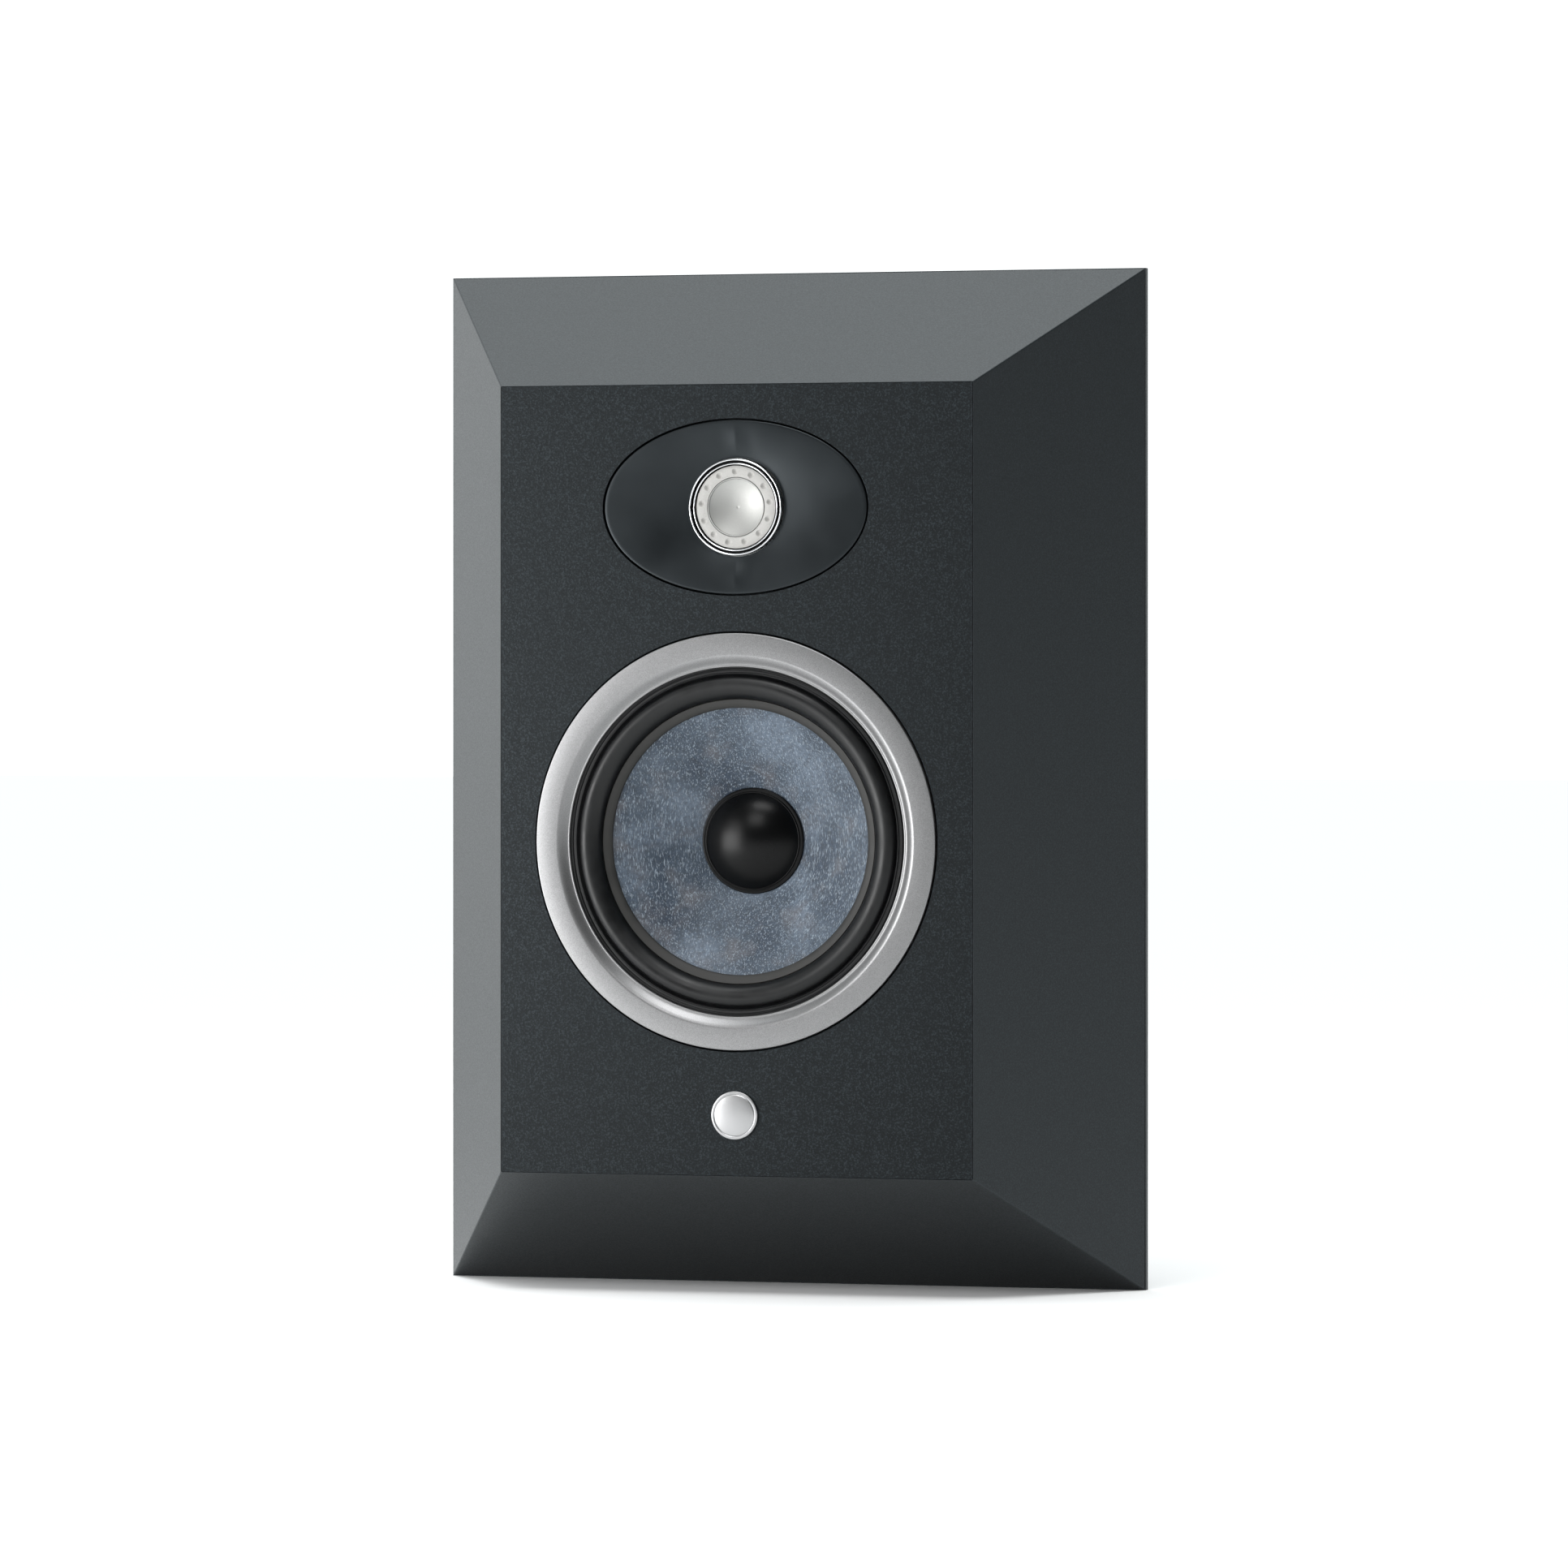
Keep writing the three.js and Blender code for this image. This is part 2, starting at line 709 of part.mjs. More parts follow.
function tweeterRearCup() {
  const { cup, plateRadius } = TWEETER;
  const wall = 1.6;
  return turned([
    [plateRadius - wall, cup[0]],
    [plateRadius, cup[0]],
    [plateRadius, cup[1] - 2],
    [plateRadius - 2, cup[1]],
    [0, cup[1]],
    [0, cup[1] - wall],
    [plateRadius - wall - 1.4, cup[1] - wall],
    [plateRadius - wall, cup[1] - wall - 1.4],
  ], COARSE);
}

function tweeter() {
  const { plate: topPlate, magnet, plateRadius, magnetRadius } = TWEETER;
  return assembly([0, FRONT_Y, TWEETER.z], [
    piece('tweeter_faceplate', tweeterFaceplate(), MATERIALS.blackPlastic),
    piece('tweeter_trim_ring', tweeterTrimRing(), MATERIALS.chrome),
    piece('tweeter_suspension', tweeterSuspension(), MATERIALS.foam),
    piece('tweeter_dome', tweeterDome(), MATERIALS.dome),
    piece('tweeter_voice_coil', ring(9.9, 10.6, [3.6, 10]), MATERIALS.copper),
    piece('tweeter_top_plate', ring(11.4, plateRadius, topPlate), MATERIALS.zinc),
    piece('tweeter_magnet', ring(13.5, magnetRadius, magnet), MATERIALS.ferrite),
    piece('tweeter_yoke', tweeterYoke(), MATERIALS.zinc),
    piece('tweeter_rear_cup', tweeterRearCup(), MATERIALS.blackPlastic),
  ]);
}

// ---------------------------------------------------------------- terminals

function cupScrewPlaces() {
  const { screwX, screwZ } = CUP;
  return [[-screwX, screwZ], [screwX, screwZ], [screwX, -screwZ], [-screwX, -screwZ]];
}

/** A moulded tray let into the back panel, with counterbored flange screws and two post holes. */
function terminalCup() {
  const { flange, mouth, wall, flangeFace, flangeThickness, floor } = CUP;
  const outer = mouth.map((side) => side + 2 * wall);
  const flangeBack = flangeFace - flangeThickness;
  const tray = join(
    plate(roundedRectangle(...flange, 6), [flangeBack, flangeFace]),
    plate(roundedRectangle(...outer, 5), [floor - wall, flangeBack + 1]),
  );
  const screwHoles = cupScrewPlaces().flatMap(([x, z]) => [
    rod(3.1, [flangeFace - 1.8, 1], x, z, SMALL),
    rod(1.6, [flangeBack - 1, 1], x, z, SMALL),
  ]);
  const throughFloor = [floor - wall - 1, floor + 1];
  const postHoles = [-POST.x, POST.x].map((x) => rod(POST.studRadius + GAP, throughFloor, x, 0, SMALL));
  return cut(
    tray,
    plate(roundedRectangle(...mouth, 3), [floor, 1]),
    ...screwHoles,
    ...postHoles,
  );
}

/** Threaded stud with a hexagonal shoulder drawn up against the inside of the cup. */
function postStud() {
  const { studRadius, studEnds } = POST;
  const shoulderTop = CUP.floor - CUP.wall - GAP;
  return join(
    rod(studRadius, studEnds, 0, 0, SMALL),
    rod(5, [shoulderTop - 3.2, shoulderTop], 0, 0, 6),
  );
}

/** Finger knob with twelve grip lobes and a bore for the stud. */
function postKnob() {
  const { knob, knobRadius, boreRadius } = POST;
  const lobes = 12;
  const outline = new THREE.Shape(Array.from({ length: lobes * 3 }, (_, i) => {
    const angle = (i * 2 * Math.PI) / (lobes * 3);
    const radius = i % 3 === 0 ? knobRadius - 0.7 : knobRadius;
    return new THREE.Vector2(radius * Math.cos(angle), radius * Math.sin(angle));
  }));
  const bore = new THREE.Path();
  bore.absarc(0, 0, boreRadius, 0, 2 * Math.PI, true);
  outline.holes.push(bore);
  return weld(plate(outline, knob, 5));
}

function bindingPost(color, x, material) {
  const { collar, washer, boreRadius } = POST;
  return assembly([x, 0, CUP.z], [
    piece(`post_stud_${color}`, postStud(), MATERIALS.brass),
    piece(`post_collar_${color}`, ring(boreRadius, 6.8, collar, 16), material),
    piece(`post_washer_${color}`, ring(boreRadius, 6.2, washer, 16), MATERIALS.brass),
    piece(`post_knob_${color}`, postKnob(), material),
  ]);
}

function terminals() {
  const headSeat = CUP.flangeFace - 1.8 + GAP;
  const screws = cupScrewPlaces().map(([x, z], i) => piece(
    `cup_screw_${i + 1}`,
    screw(2.7, 1.1, 1.2, headSeat, -10.5),
    MATERIALS.steel,
    [x, 0, CUP.z + z],
  ));
  return assembly([0, 0, 0], [
    piece('terminal_cup', terminalCup(), MATERIALS.blackPlastic, [0, 0, CUP.z]),
    bindingPost('red', -POST.x, MATERIALS.redPlastic),
    bindingPost('black', POST.x, MATERIALS.blackPlastic),
    ...screws,
  ]);
}

// ---------------------------------------------------------------- wall hanger

/** Keyhole plate: the wall screw's head enters the round hole and rises into the slot. */
function hangerPlate() {
  const { width, height, face, thickness, headRadius, slotWidth, slotRun, screwX } = HANGER;
  const span = [face - thickness, face];
  const beyond = [span[0] - 1, span[1] + 1];
  const entryZ = -slotRun / 2;
  return cut(
    plate(roundedRectangle(width, height, 4), span),
    rod(headRadius, beyond, 0, entryZ, 16),
    box([-slotWidth / 2, slotWidth / 2], beyond, [entryZ, entryZ + slotRun]),
    rod(slotWidth / 2, beyond, 0, entryZ + slotRun, 16),
    ...[-screwX, screwX].map((x) => rod(1.9, beyond, x, 0, SMALL)),
  );
}

function hanger() {
  const headSeat = HANGER.face + GAP;
  const screwAt = (x) => piece(
    x < 0 ? 'hanger_screw_left' : 'hanger_screw_right',
    screw(3.2, 1.3, 1.5, headSeat, -10.5),
    MATERIALS.steel,
    [x, 0, 0],
  );
  return assembly([0, 0, HANGER.z], [
    piece('hanger_plate', hangerPlate(), MATERIALS.zinc),
    screwAt(-HANGER.screwX),
    screwAt(HANGER.screwX),
  ]);
}

// ---------------------------------------------------------------- crossover

/** Circuit board on four spacers that stand on the back panel. */
function crossoverBoard() {
  const inset = 6;
  const length = [BOARD.y[1] - 0.5, -CABINET.back - GAP];
  const columns = [BOARD.x[0] + inset, BOARD.x[1] - inset];
  const rows = [BOARD.z[0] + inset, BOARD.z[1] - inset];
  const spacers = columns.flatMap((x) => rows.map((z) => rod(3, length, x, z, SMALL)));
  return join(box(BOARD.x, BOARD.y, BOARD.z), ...spacers);
}

/** An air-cored coil standing on the board's inner face. */
function inductor(inner, outer, height) {
  const base = BOARD.y[0] - GAP;
  return ring(inner, outer, [base - height, base], COARSE);
}

/** Two cores side by side that part at both ends. */
function twinCable(startA, startB, route, endA, endB) {
  const offset = 1;
  const core = (start, end, side) => wire(
    [start, ...route.map(([x, y, z]) => [x, y + side * offset, z]), end],
    1.3,
    14,
  );
  return join(core(startA, endA, -1), core(startB, endB, 1));
}

function crossover() {
  const base = BOARD.y[0] - GAP;
  const can = rod(8, [-17, 17], 0, 0, 16).rotateX(Math.PI / 2);
  const inputCable = twinCable(
    [-POST.x, -44, CUP.z],
    [POST.x, -44, CUP.z],
    [[-22, -48, CUP.z + 12], [-50, -44, CUP.z + 32], [-74, -32, CUP.z + 46]],
    [-84, -20, -68],
    [-76, -20, -68],
  );
  const wooferCable = twinCable(
    [-62, -21, -20],
    [-62, -21, -12],
    [[-66, -30, -20], [-72, -38, -24], [-74, -44, -26]],
    [-71.5, FRONT_Y + 42, WOOFER.z - 5],
    [-71.5, FRONT_Y + 42, WOOFER.z + 5],
  );
  const tweeterCable = twinCable(
    [-84, -20, 26],
    [-76, -20, 26],
    [[-80, -34, 44], [-66, -44, 70], [-46, -56, 92]],
    [-30, FRONT_Y + 26, TWEETER.z - 4],
    [-30, FRONT_Y + 26, TWEETER.z + 4],
  );
  return assembly([0, 0, 0], [
    piece('crossover_board', crossoverBoard(), MATERIALS.board),
    piece('inductor_woofer', inductor(8, 18, 16), MATERIALS.copper, [-90, 0, -44]),
    piece('inductor_tweeter', inductor(5, 11, 12), MATERIALS.copper, [-100, 0, 12]),
    piece('capacitor', can, MATERIALS.blackPlastic, [-74, base - 8.5, 0]),
    piece('resistor', box([-11, 11], [-8, 0], [-4, 4]), MATERIALS.wadding, [-104, base, -14]),
    piece('input_cable', inputCable, MATERIALS.cable),
    piece('woofer_cable', wooferCable, MATERIALS.cable),
    piece('tweeter_cable', tweeterCable, MATERIALS.cable),
  ]);
}

// ---------------------------------------------------------------- the whole speaker

const speaker = assembly([0, 0, 0], [
  cabinet(),
  woofer(),
  tweeter(),
  terminals(),
  hanger(),
  crossover(),
]);

export default speaker;
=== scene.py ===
"""Looks of the on-wall loudspeaker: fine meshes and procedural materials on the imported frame.

Profiles and outlines are in millimetres. A profile point is (radius, depth) or (radius, depth, fillet),
where depth runs from the face of the baffle into the cabinet.
"""

import json
import math

import bmesh
import bpy
import numpy as np
from mathutils import Matrix, Vector, noise


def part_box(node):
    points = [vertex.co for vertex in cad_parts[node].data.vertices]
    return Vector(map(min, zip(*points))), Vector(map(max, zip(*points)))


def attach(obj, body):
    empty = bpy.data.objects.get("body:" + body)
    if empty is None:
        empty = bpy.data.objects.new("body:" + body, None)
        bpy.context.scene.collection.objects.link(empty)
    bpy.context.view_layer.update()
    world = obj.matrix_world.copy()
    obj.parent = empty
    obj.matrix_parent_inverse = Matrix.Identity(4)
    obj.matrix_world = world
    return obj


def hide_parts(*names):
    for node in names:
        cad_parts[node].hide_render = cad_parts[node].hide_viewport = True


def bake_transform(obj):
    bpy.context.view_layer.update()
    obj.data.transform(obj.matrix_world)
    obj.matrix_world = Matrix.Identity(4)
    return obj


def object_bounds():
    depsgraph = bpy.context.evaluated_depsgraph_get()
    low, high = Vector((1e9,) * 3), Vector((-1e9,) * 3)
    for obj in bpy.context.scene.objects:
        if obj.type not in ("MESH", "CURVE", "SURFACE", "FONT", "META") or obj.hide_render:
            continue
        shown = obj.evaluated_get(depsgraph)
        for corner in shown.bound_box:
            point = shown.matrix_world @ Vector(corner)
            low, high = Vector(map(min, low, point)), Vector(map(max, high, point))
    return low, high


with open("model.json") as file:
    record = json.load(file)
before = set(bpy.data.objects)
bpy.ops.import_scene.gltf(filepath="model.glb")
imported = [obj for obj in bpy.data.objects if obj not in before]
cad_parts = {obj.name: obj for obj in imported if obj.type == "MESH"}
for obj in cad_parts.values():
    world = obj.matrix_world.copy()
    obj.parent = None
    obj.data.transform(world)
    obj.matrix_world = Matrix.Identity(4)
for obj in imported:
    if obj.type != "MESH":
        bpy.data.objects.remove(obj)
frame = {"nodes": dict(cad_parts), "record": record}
CAD_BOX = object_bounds()

# ------------------------------------------------------------------ places taken from the frame

MM = 0.001


def middle_of(node):
    low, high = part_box(node)
    return (low + high) / 2


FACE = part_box("front_baffle")[0].y  # the plane of the baffle's face
WOOFER = Vector((0, FACE, middle_of("woofer_trim_ring").z))
TWEETER = Vector((0, FACE, middle_of("tweeter_trim_ring").z))
BADGE = Vector((0, FACE, middle_of("badge").z))
FLOOR_Z = CAD_BOX[0].z


# The cabinet's own sizes, in millimetres.
SEAM = 0.35  # between the front board and the bevelled boards
RIM = 3.5  # the band of the back panel that shows behind the bevels
WALL = 12
BAFFLE_REAR = 15
FRONT_HALF = [side / MM + SEAM for side in (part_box("front_baffle")[1].x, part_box("front_baffle")[1].z)]
BACK_HALF = [side / MM for side in (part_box("back_panel")[1].x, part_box("back_panel")[1].z)]
BEVEL_DEPTH = -FACE / MM - RIM
BOARD_REAR = BEVEL_DEPTH - 0.3

LARGE_ROUND = 192  # sides of the woofer's parts
SMALL_ROUND = 128
DIMPLES = 13

# ------------------------------------------------------------------ mesh helpers


def finish_mesh(obj, sharp_degrees=35):
    obj.data.polygons.foreach_set("use_smooth", [True] * len(obj.data.polygons))
    obj.data.set_sharp_from_angle(angle=math.radians(sharp_degrees))
    return obj


def flat_faced(obj):
    """Keeps large flat faces flat beside their rounded edges."""
    weighted = obj.modifiers.new("flat_faces", "WEIGHTED_NORMAL")
    weighted.keep_sharp = True
    return obj


def link_mesh(name, vertices, faces):
    mesh = bpy.data.meshes.new(name)
    mesh.from_pydata(vertices, [], faces)
    mesh.validate()
    obj = bpy.data.objects.new(name, mesh)
    bpy.context.scene.collection.objects.link(obj)
    return obj


def face_outwards(obj):
    work = bmesh.new()
    work.from_mesh(obj.data)
    bmesh.ops.remove_doubles(work, verts=work.verts, dist=1e-7)
    bmesh.ops.recalc_face_normals(work, faces=work.faces)
    work.to_mesh(obj.data)
    work.free()
    return obj


def loops_surface(name, loops, centre, wrap=True):
    """A skin over closed loops of (x, depth, z) points; the last loop joins the first if wrap is true."""
    count = len(loops[0])
    vertices = [centre + Vector(point) * MM for loop in loops for point in loop]
    faces = []
    spans = len(loops) if wrap else len(loops) - 1
    for i in range(spans):
        here, there = i * count, (i + 1) % len(loops) * count
        for j in range(count):
            k = (j + 1) % count
            faces.append((here + j, here + k, there + k, there + j))
    if not wrap:
        faces.append(tuple(range(count)))
        faces.append(tuple(range(len(vertices) - count, len(vertices))))
    return finish_mesh(face_outwards(link_mesh(name, vertices, faces)))


def circle(radius, depth, sides):
    step = 2 * math.pi / sides
    return [(radius * math.cos(i * step), depth, radius * math.sin(i * step)) for i in range(sides)]


def rounded(profile, steps=4):
    """The profile with each corner that gives a fillet drawn as an arc."""
    points = []
    for i, corner in enumerate(profile):
        fillet = corner[2] if len(corner) > 2 else 0
        here = Vector(corner[:2])
        if not fillet:
            points.append(tuple(here))
            continue
        before = Vector(profile[i - 1][:2])
        after = Vector(profile[(i + 1) % len(profile)][:2])
        start = here + (before - here).normalized() * fillet
        end = here + (after - here).normalized() * fillet
        for s in range(steps + 1):
            t = s / steps
            points.append(tuple(start * (1 - t) ** 2 + here * 2 * t * (1 - t) + end * t * t))
    return points


def turned(name, profile, centre, sides=LARGE_ROUND):
    """A solid of revolution about Y. A profile that starts and ends on the axis gets no hole."""
    points = rounded(profile)
    on_axis = points[0][0] < 1e-6 and points[-1][0] < 1e-6
    tiny = 1e-3
    loops = [circle(max(r, tiny), depth, sides) for r, depth in points]
    return loops_surface(name, loops, centre, wrap=not on_axis)


def refined(node, edge=0.35, name=None, segments=2):
    """A copy of a CAD node with its flat faces merged and its sharp edges rounded."""
    mesh = frame["nodes"][node].data.copy()
    mesh.materials.clear()
    obj = bpy.data.objects.new(name or f"{node}_finished", mesh)
    bpy.context.scene.collection.objects.link(obj)
    work = bmesh.new()
    work.from_mesh(mesh)
    bmesh.ops.remove_doubles(work, verts=work.verts, dist=1e-6)
    bmesh.ops.dissolve_limit(
        work, angle_limit=math.radians(1), verts=work.verts, edges=work.edges
    )
    sharp = [e for e in work.edges if len(e.link_faces) == 2 and e.calc_face_angle(0) > math.radians(40)]
    if edge:
        bmesh.ops.bevel(
            work,
            geom=sharp,
            offset=edge * MM,
            segments=segments,
            profile=0.5,
            affect="EDGES",
            clamp_overlap=True,
        )
    bmesh.ops.recalc_face_normals(work, faces=work.faces)
    work.to_mesh(mesh)
    work.free()
    return flat_faced(finish_mesh(obj, 40))


def outline(points_list):
    """A flat curve of closed outlines, the later ones cut out of the first."""
    curve = bpy.data.curves.new("outline", "CURVE")
    curve.dimensions = "2D"
    curve.fill_mode = "BOTH"
    for points in points_list:
        spline = curve.splines.new("POLY")
        spline.points.add(len(points) - 1)
        for target, (x, z) in zip(spline.points, points):
            target.co = (x * MM, z * MM, 0, 1)
        spline.use_cyclic_u = True
    return curve


def board(name, outlines, depths, edge=0.3):
    """A flat board between two depths behind the baffle's face, with holes and rounded edges."""
    curve = outline(outlines)
    thickness = (depths[1] - depths[0]) * MM
    curve.bevel_depth = edge * MM
    curve.bevel_resolution = 1
    curve.extrude = thickness / 2 - edge * MM
    curve.offset = -edge * MM
    source = bpy.data.objects.new("outline", curve)
    bpy.context.scene.collection.objects.link(source)
    bpy.context.view_layer.update()
    evaluated = source.evaluated_get(bpy.context.evaluated_depsgraph_get())
    mesh = bpy.data.meshes.new_from_object(evaluated)
    bpy.data.objects.remove(source)
    middle = FACE + (depths[0] + depths[1]) / 2 * MM
    mesh.transform(Matrix.Translation((0, middle, 0)) @ Matrix.Rotation(math.pi / 2, 4, "X"))
    obj = bpy.data.objects.new(name, mesh)
    bpy.context.scene.collection.objects.link(obj)
    return flat_faced(finish_mesh(face_outwards(obj), 50))


def ellipse(half_width, half_height, centre_z, sides=SMALL_ROUND):
    step = 2 * math.pi / sides
    return [
        (half_width * math.cos(i * step), centre_z + half_height * math.sin(i * step))
        for i in range(sides)
    ]


def tube(name, points, radius, sides=10, smooth_steps=8):
    """A round wire through points given in metres."""
    curve = bpy.data.curves.new(name, "CURVE")
    curve.dimensions = "3D"
    curve.bevel_depth = radius * MM
    curve.bevel_resolution = sides // 4
    curve.use_fill_caps = True
    spline = curve.splines.new("BEZIER")
    spline.bezier_points.add(len(points) - 1)
    for target, point in zip(spline.bezier_points, points):
        target.co = point
        target.handle_left_type = "AUTO"
        target.handle_right_type = "AUTO"
    spline.resolution_u = smooth_steps
    source = bpy.data.objects.new(name, curve)
    bpy.context.scene.collection.objects.link(source)
    bpy.context.view_layer.update()
    mesh = bpy.data.meshes.new_from_object(source.evaluated_get(bpy.context.evaluated_depsgraph_get()))
    bpy.data.objects.remove(source)
    obj = bpy.data.objects.new(name, mesh)
    bpy.context.scene.collection.objects.link(obj)
    return finish_mesh(face_outwards(obj))


def stand_for(obj, nodes, body, material):
    """The piece takes a CAD node's place on its body."""
    obj.data.materials.clear()
    obj.data.materials.append(material)
    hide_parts(*nodes)
    if body:
        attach(obj, body)
    return obj


def blend_by_radius(obj):
    """Bakes a round soft part's transform into its mesh."""
    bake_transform(obj)


# ------------------------------------------------------------------ material helpers


COOL = (0.90, 1.0, 1.06)  # tint of the highlights on the blue-black parts


class Finish:
    """A Principled material with small helpers that add procedural detail to it."""

    def __init__(self, name, colour, roughness, metallic=0.0, **sockets):
        self.material = bpy.data.materials.new(name)
        self.material.use_nodes = True
        self.tree = self.material.node_tree
        self.shader = self.tree.nodes["Principled BSDF"]
        self.colour = colour
        self.set("Base Color", (*colour, 1))
        self.set("Roughness", roughness)
        self.set("Metallic", metallic)
        for socket, value in sockets.items():
            self.set(socket.replace("_", " "), value)
        self.place = self.tree.nodes.new("ShaderNodeTexCoord").outputs["Object"]

    def set(self, socket, value):
        self.shader.inputs[socket].default_value = value

    def link(self, output, target):
        self.tree.links.new(output, target)

    def mapped(self, turn=(0, 0, 0), stretch=(1, 1, 1)):
        node = self.tree.nodes.new("ShaderNodeMapping")
        node.inputs["Rotation"].default_value = turn
        node.inputs["Scale"].default_value = stretch
        self.link(self.place, node.inputs["Vector"])
        return node.outputs["Vector"]

    def noise(self, size, detail=2.0, roughness=0.5, vector=None):
        """Noise whose features are about size millimetres across."""
        node = self.tree.nodes.new("ShaderNodeTexNoise")
        node.inputs["Scale"].default_value = 1 / (size * MM)
        node.inputs["Detail"].default_value = detail
        node.inputs["Roughness"].default_value = roughness
        self.link(vector or self.place, node.inputs["Vector"])
        return node.outputs["Fac"]

    def cells(self, size, vector=None):
        node = self.tree.nodes.new("ShaderNodeTexVoronoi")
        node.inputs["Scale"].default_value = 1 / (size * MM)
        self.link(vector or self.place, node.inputs["Vector"])
        return node.outputs["Distance"]

    def remap(self, value, low, high, to_low=0.0, to_high=1.0):
        node = self.tree.nodes.new("ShaderNodeMapRange")
        for socket, number in zip(("From Min", "From Max", "To Min", "To Max"), (low, high, to_low, to_high)):
            node.inputs[socket].default_value = number
        self.link(value, node.inputs["Value"])
        return node.outputs["Result"]

    def ramp(self, value, stops):
        node = self.tree.nodes.new("ShaderNodeValToRGB")
        elements = node.color_ramp.elements
        while len(elements) < len(stops):
            elements.new(0.5)
        for element, (position, colour) in zip(elements, stops):
            element.position = position
            element.color = (*colour, 1)
        self.link(value, node.inputs["Fac"])
        return node.outputs["Color"]

    def mix(self, factor, first, second, mode="MIX"):
        node = self.tree.nodes.new("ShaderNodeMix")
        node.data_type = "RGBA"
        node.blend_type = mode
        sockets = [s for s in node.inputs if s.type == "RGBA"]
        for socket, value in zip(sockets, (first, second)):
            if isinstance(value, tuple):
                socket.default_value = (*value, 1)
            else:
                self.link(value, socket)
        if isinstance(factor, float):
            node.inputs["Factor"].default_value = factor
        else:
            self.link(factor, node.inputs["Factor"])
        return next(s for s in node.outputs if s.type == "RGBA")

    def sum(self, first, second, operation="ADD"):
        node = self.tree.nodes.new("ShaderNodeMath")
        node.operation = operation
        for socket, value in zip(node.inputs, (first, second)):
            if isinstance(value, (int, float)):
                socket.default_value = value
            else:
                self.link(value, socket)
        return node.outputs["Value"]

    def paint(self, colour):
        self.link(colour, self.shader.inputs["Base Color"])
        return self

    def polish(self, value, low, high):
        self.link(self.remap(value, 0.3, 0.7, low, high), self.shader.inputs["Roughness"])
        return self

    def bump(self, height, depth, strength=1.0):
        """depth is the relief's height in millimetres."""
        node = self.tree.nodes.new("ShaderNodeBump")
        node.inputs["Distance"].default_value = depth * MM
        node.inputs["Strength"].default_value = strength
        self.link(height, node.inputs["Height"])
        self.link(node.outputs["Normal"], self.shader.inputs["Normal"])
        return self


def grained_vinyl(name, colour, grain, relief, roughness, glint_and_shade_gain, gloss=0.5):
    """Vinyl wrap: a fine irregular grain. Its high spots are painted paler as painted glints, and its low spots are
    painted darker as painted shade.
    """
    made = Finish(name, colour, roughness, Specular_Tint=(*COOL, 1), Specular_IOR_Level=gloss)
    fine = made.noise(grain, detail=2.0, roughness=0.6)
    broad = made.noise(60, detail=2.0)
    # the grain's peaks get a painted highlight and its dents painted shade, both scaled by the gain
    pale = tuple(c * glint_and_shade_gain for c in colour)
    dark = tuple(c / glint_and_shade_gain for c in colour)
    grain_glint_and_shade = made.ramp(fine, [(0.38, dark), (0.52, colour), (0.66, pale)])
    made.paint(made.mix(made.remap(broad, 0.3, 0.7, 0.0, 0.25), grain_glint_and_shade, colour))
    made.polish(fine, roughness + 0.06, roughness - 0.06)
    made.bump(fine, relief)
    return made.material


def satin_plastic(name, colour, roughness, grain=0.35, relief=0.006, gloss=0.5, tint=(1, 1, 1)):
    made = Finish(name, colour, roughness, Specular_IOR_Level=gloss, Specular_Tint=(*tint, 1))
    cloud = made.noise(24, detail=2.0)
    made.paint(made.ramp(cloud, [(0.3, tuple(c * 0.88 for c in colour)), (0.7, tuple(c * 1.12 for c in colour))]))
    made.polish(cloud, roughness - 0.04, roughness + 0.05)
    if relief:
        made.bump(made.noise(grain, detail=3.0), relief)
    return made.material


def metal(name, colour, roughness, grain=0.4, relief=0.004, stretch=(1, 1, 1), spread=0.06, metallic=1.0):
    """Bare or plated metal with fine surface marks, drawn out along one axis by stretch."""
    made = Finish(name, colour, roughness, metallic)
    marks = made.noise(grain, detail=4.0, vector=made.mapped(stretch=stretch))
    cloud = made.noise(18, detail=2.0)
    made.paint(made.ramp(cloud, [(0.3, tuple(c * 0.93 for c in colour)), (0.7, tuple(min(1, c * 1.05) for c in colour))]))
    made.polish(marks, roughness - spread, roughness + spread)
    made.bump(marks, relief)
    return made.material


def satin_silver():
    """Fine metallic paint on the woofer's trim ring."""
    base = (0.235, 0.235, 0.237)
    made = Finish("satin_silver_paint", base, 0.36, 0.9)
    flake = made.noise(0.22, detail=2.0)
    orange_peel = made.noise(2.2, detail=1.0)
    made.paint(made.ramp(flake, [(0.35, (0.195, 0.195, 0.197)), (0.65, (0.275, 0.275, 0.278))]))
    made.polish(flake, 0.33, 0.40)
    made.bump(made.sum(flake, orange_peel), 0.006)
    return made.material


def fibre_cone():
    """Pressed fibre: clouds of blue and warm grey under short pale fibres that lie at all angles."""
    made = Finish("slate_fibre", (0.16, 0.19, 0.24), 0.6)
    clouds = made.noise(26, detail=3.0)
    warm_clouds = made.noise(17, detail=3.0, roughness=0.6)
    mottle = made.noise(1.6, detail=5.0, roughness=0.7)
    ground = made.ramp(clouds, [(0.34, (0.013, 0.023, 0.040)), (0.50, (0.037, 0.052, 0.072)), (0.66, (0.080, 0.103, 0.134))])
    warm = made.mix(made.remap(warm_clouds, 0.54, 0.70, 0.0, 0.65), ground, (0.086, 0.085, 0.092))
    toned = made.mix(0.55, warm, made.ramp(mottle, [(0.30, (0.10, 0.10, 0.11)), (0.70, (0.95, 0.97, 1.0))]), "OVERLAY")
    fibres = None
    for turn in (0.35, 1.25, 2.2):
        along = made.mapped(turn=(0, turn, 0), stretch=(1.0, 1.0, 0.22))
        strand = made.remap(made.noise(0.55, detail=2.0, vector=along), 0.60, 0.70)
        fibres = strand if fibres is None else made.sum(fibres, strand, "MAXIMUM")
    flecked = made.mix(made.sum(fibres, 0.65, "MULTIPLY"), toned, (0.27, 0.32, 0.37))
    made.paint(flecked)
    made.polish(mottle, 0.50, 0.70)
    made.bump(made.sum(mottle, fibres), 0.045)
    return made.material


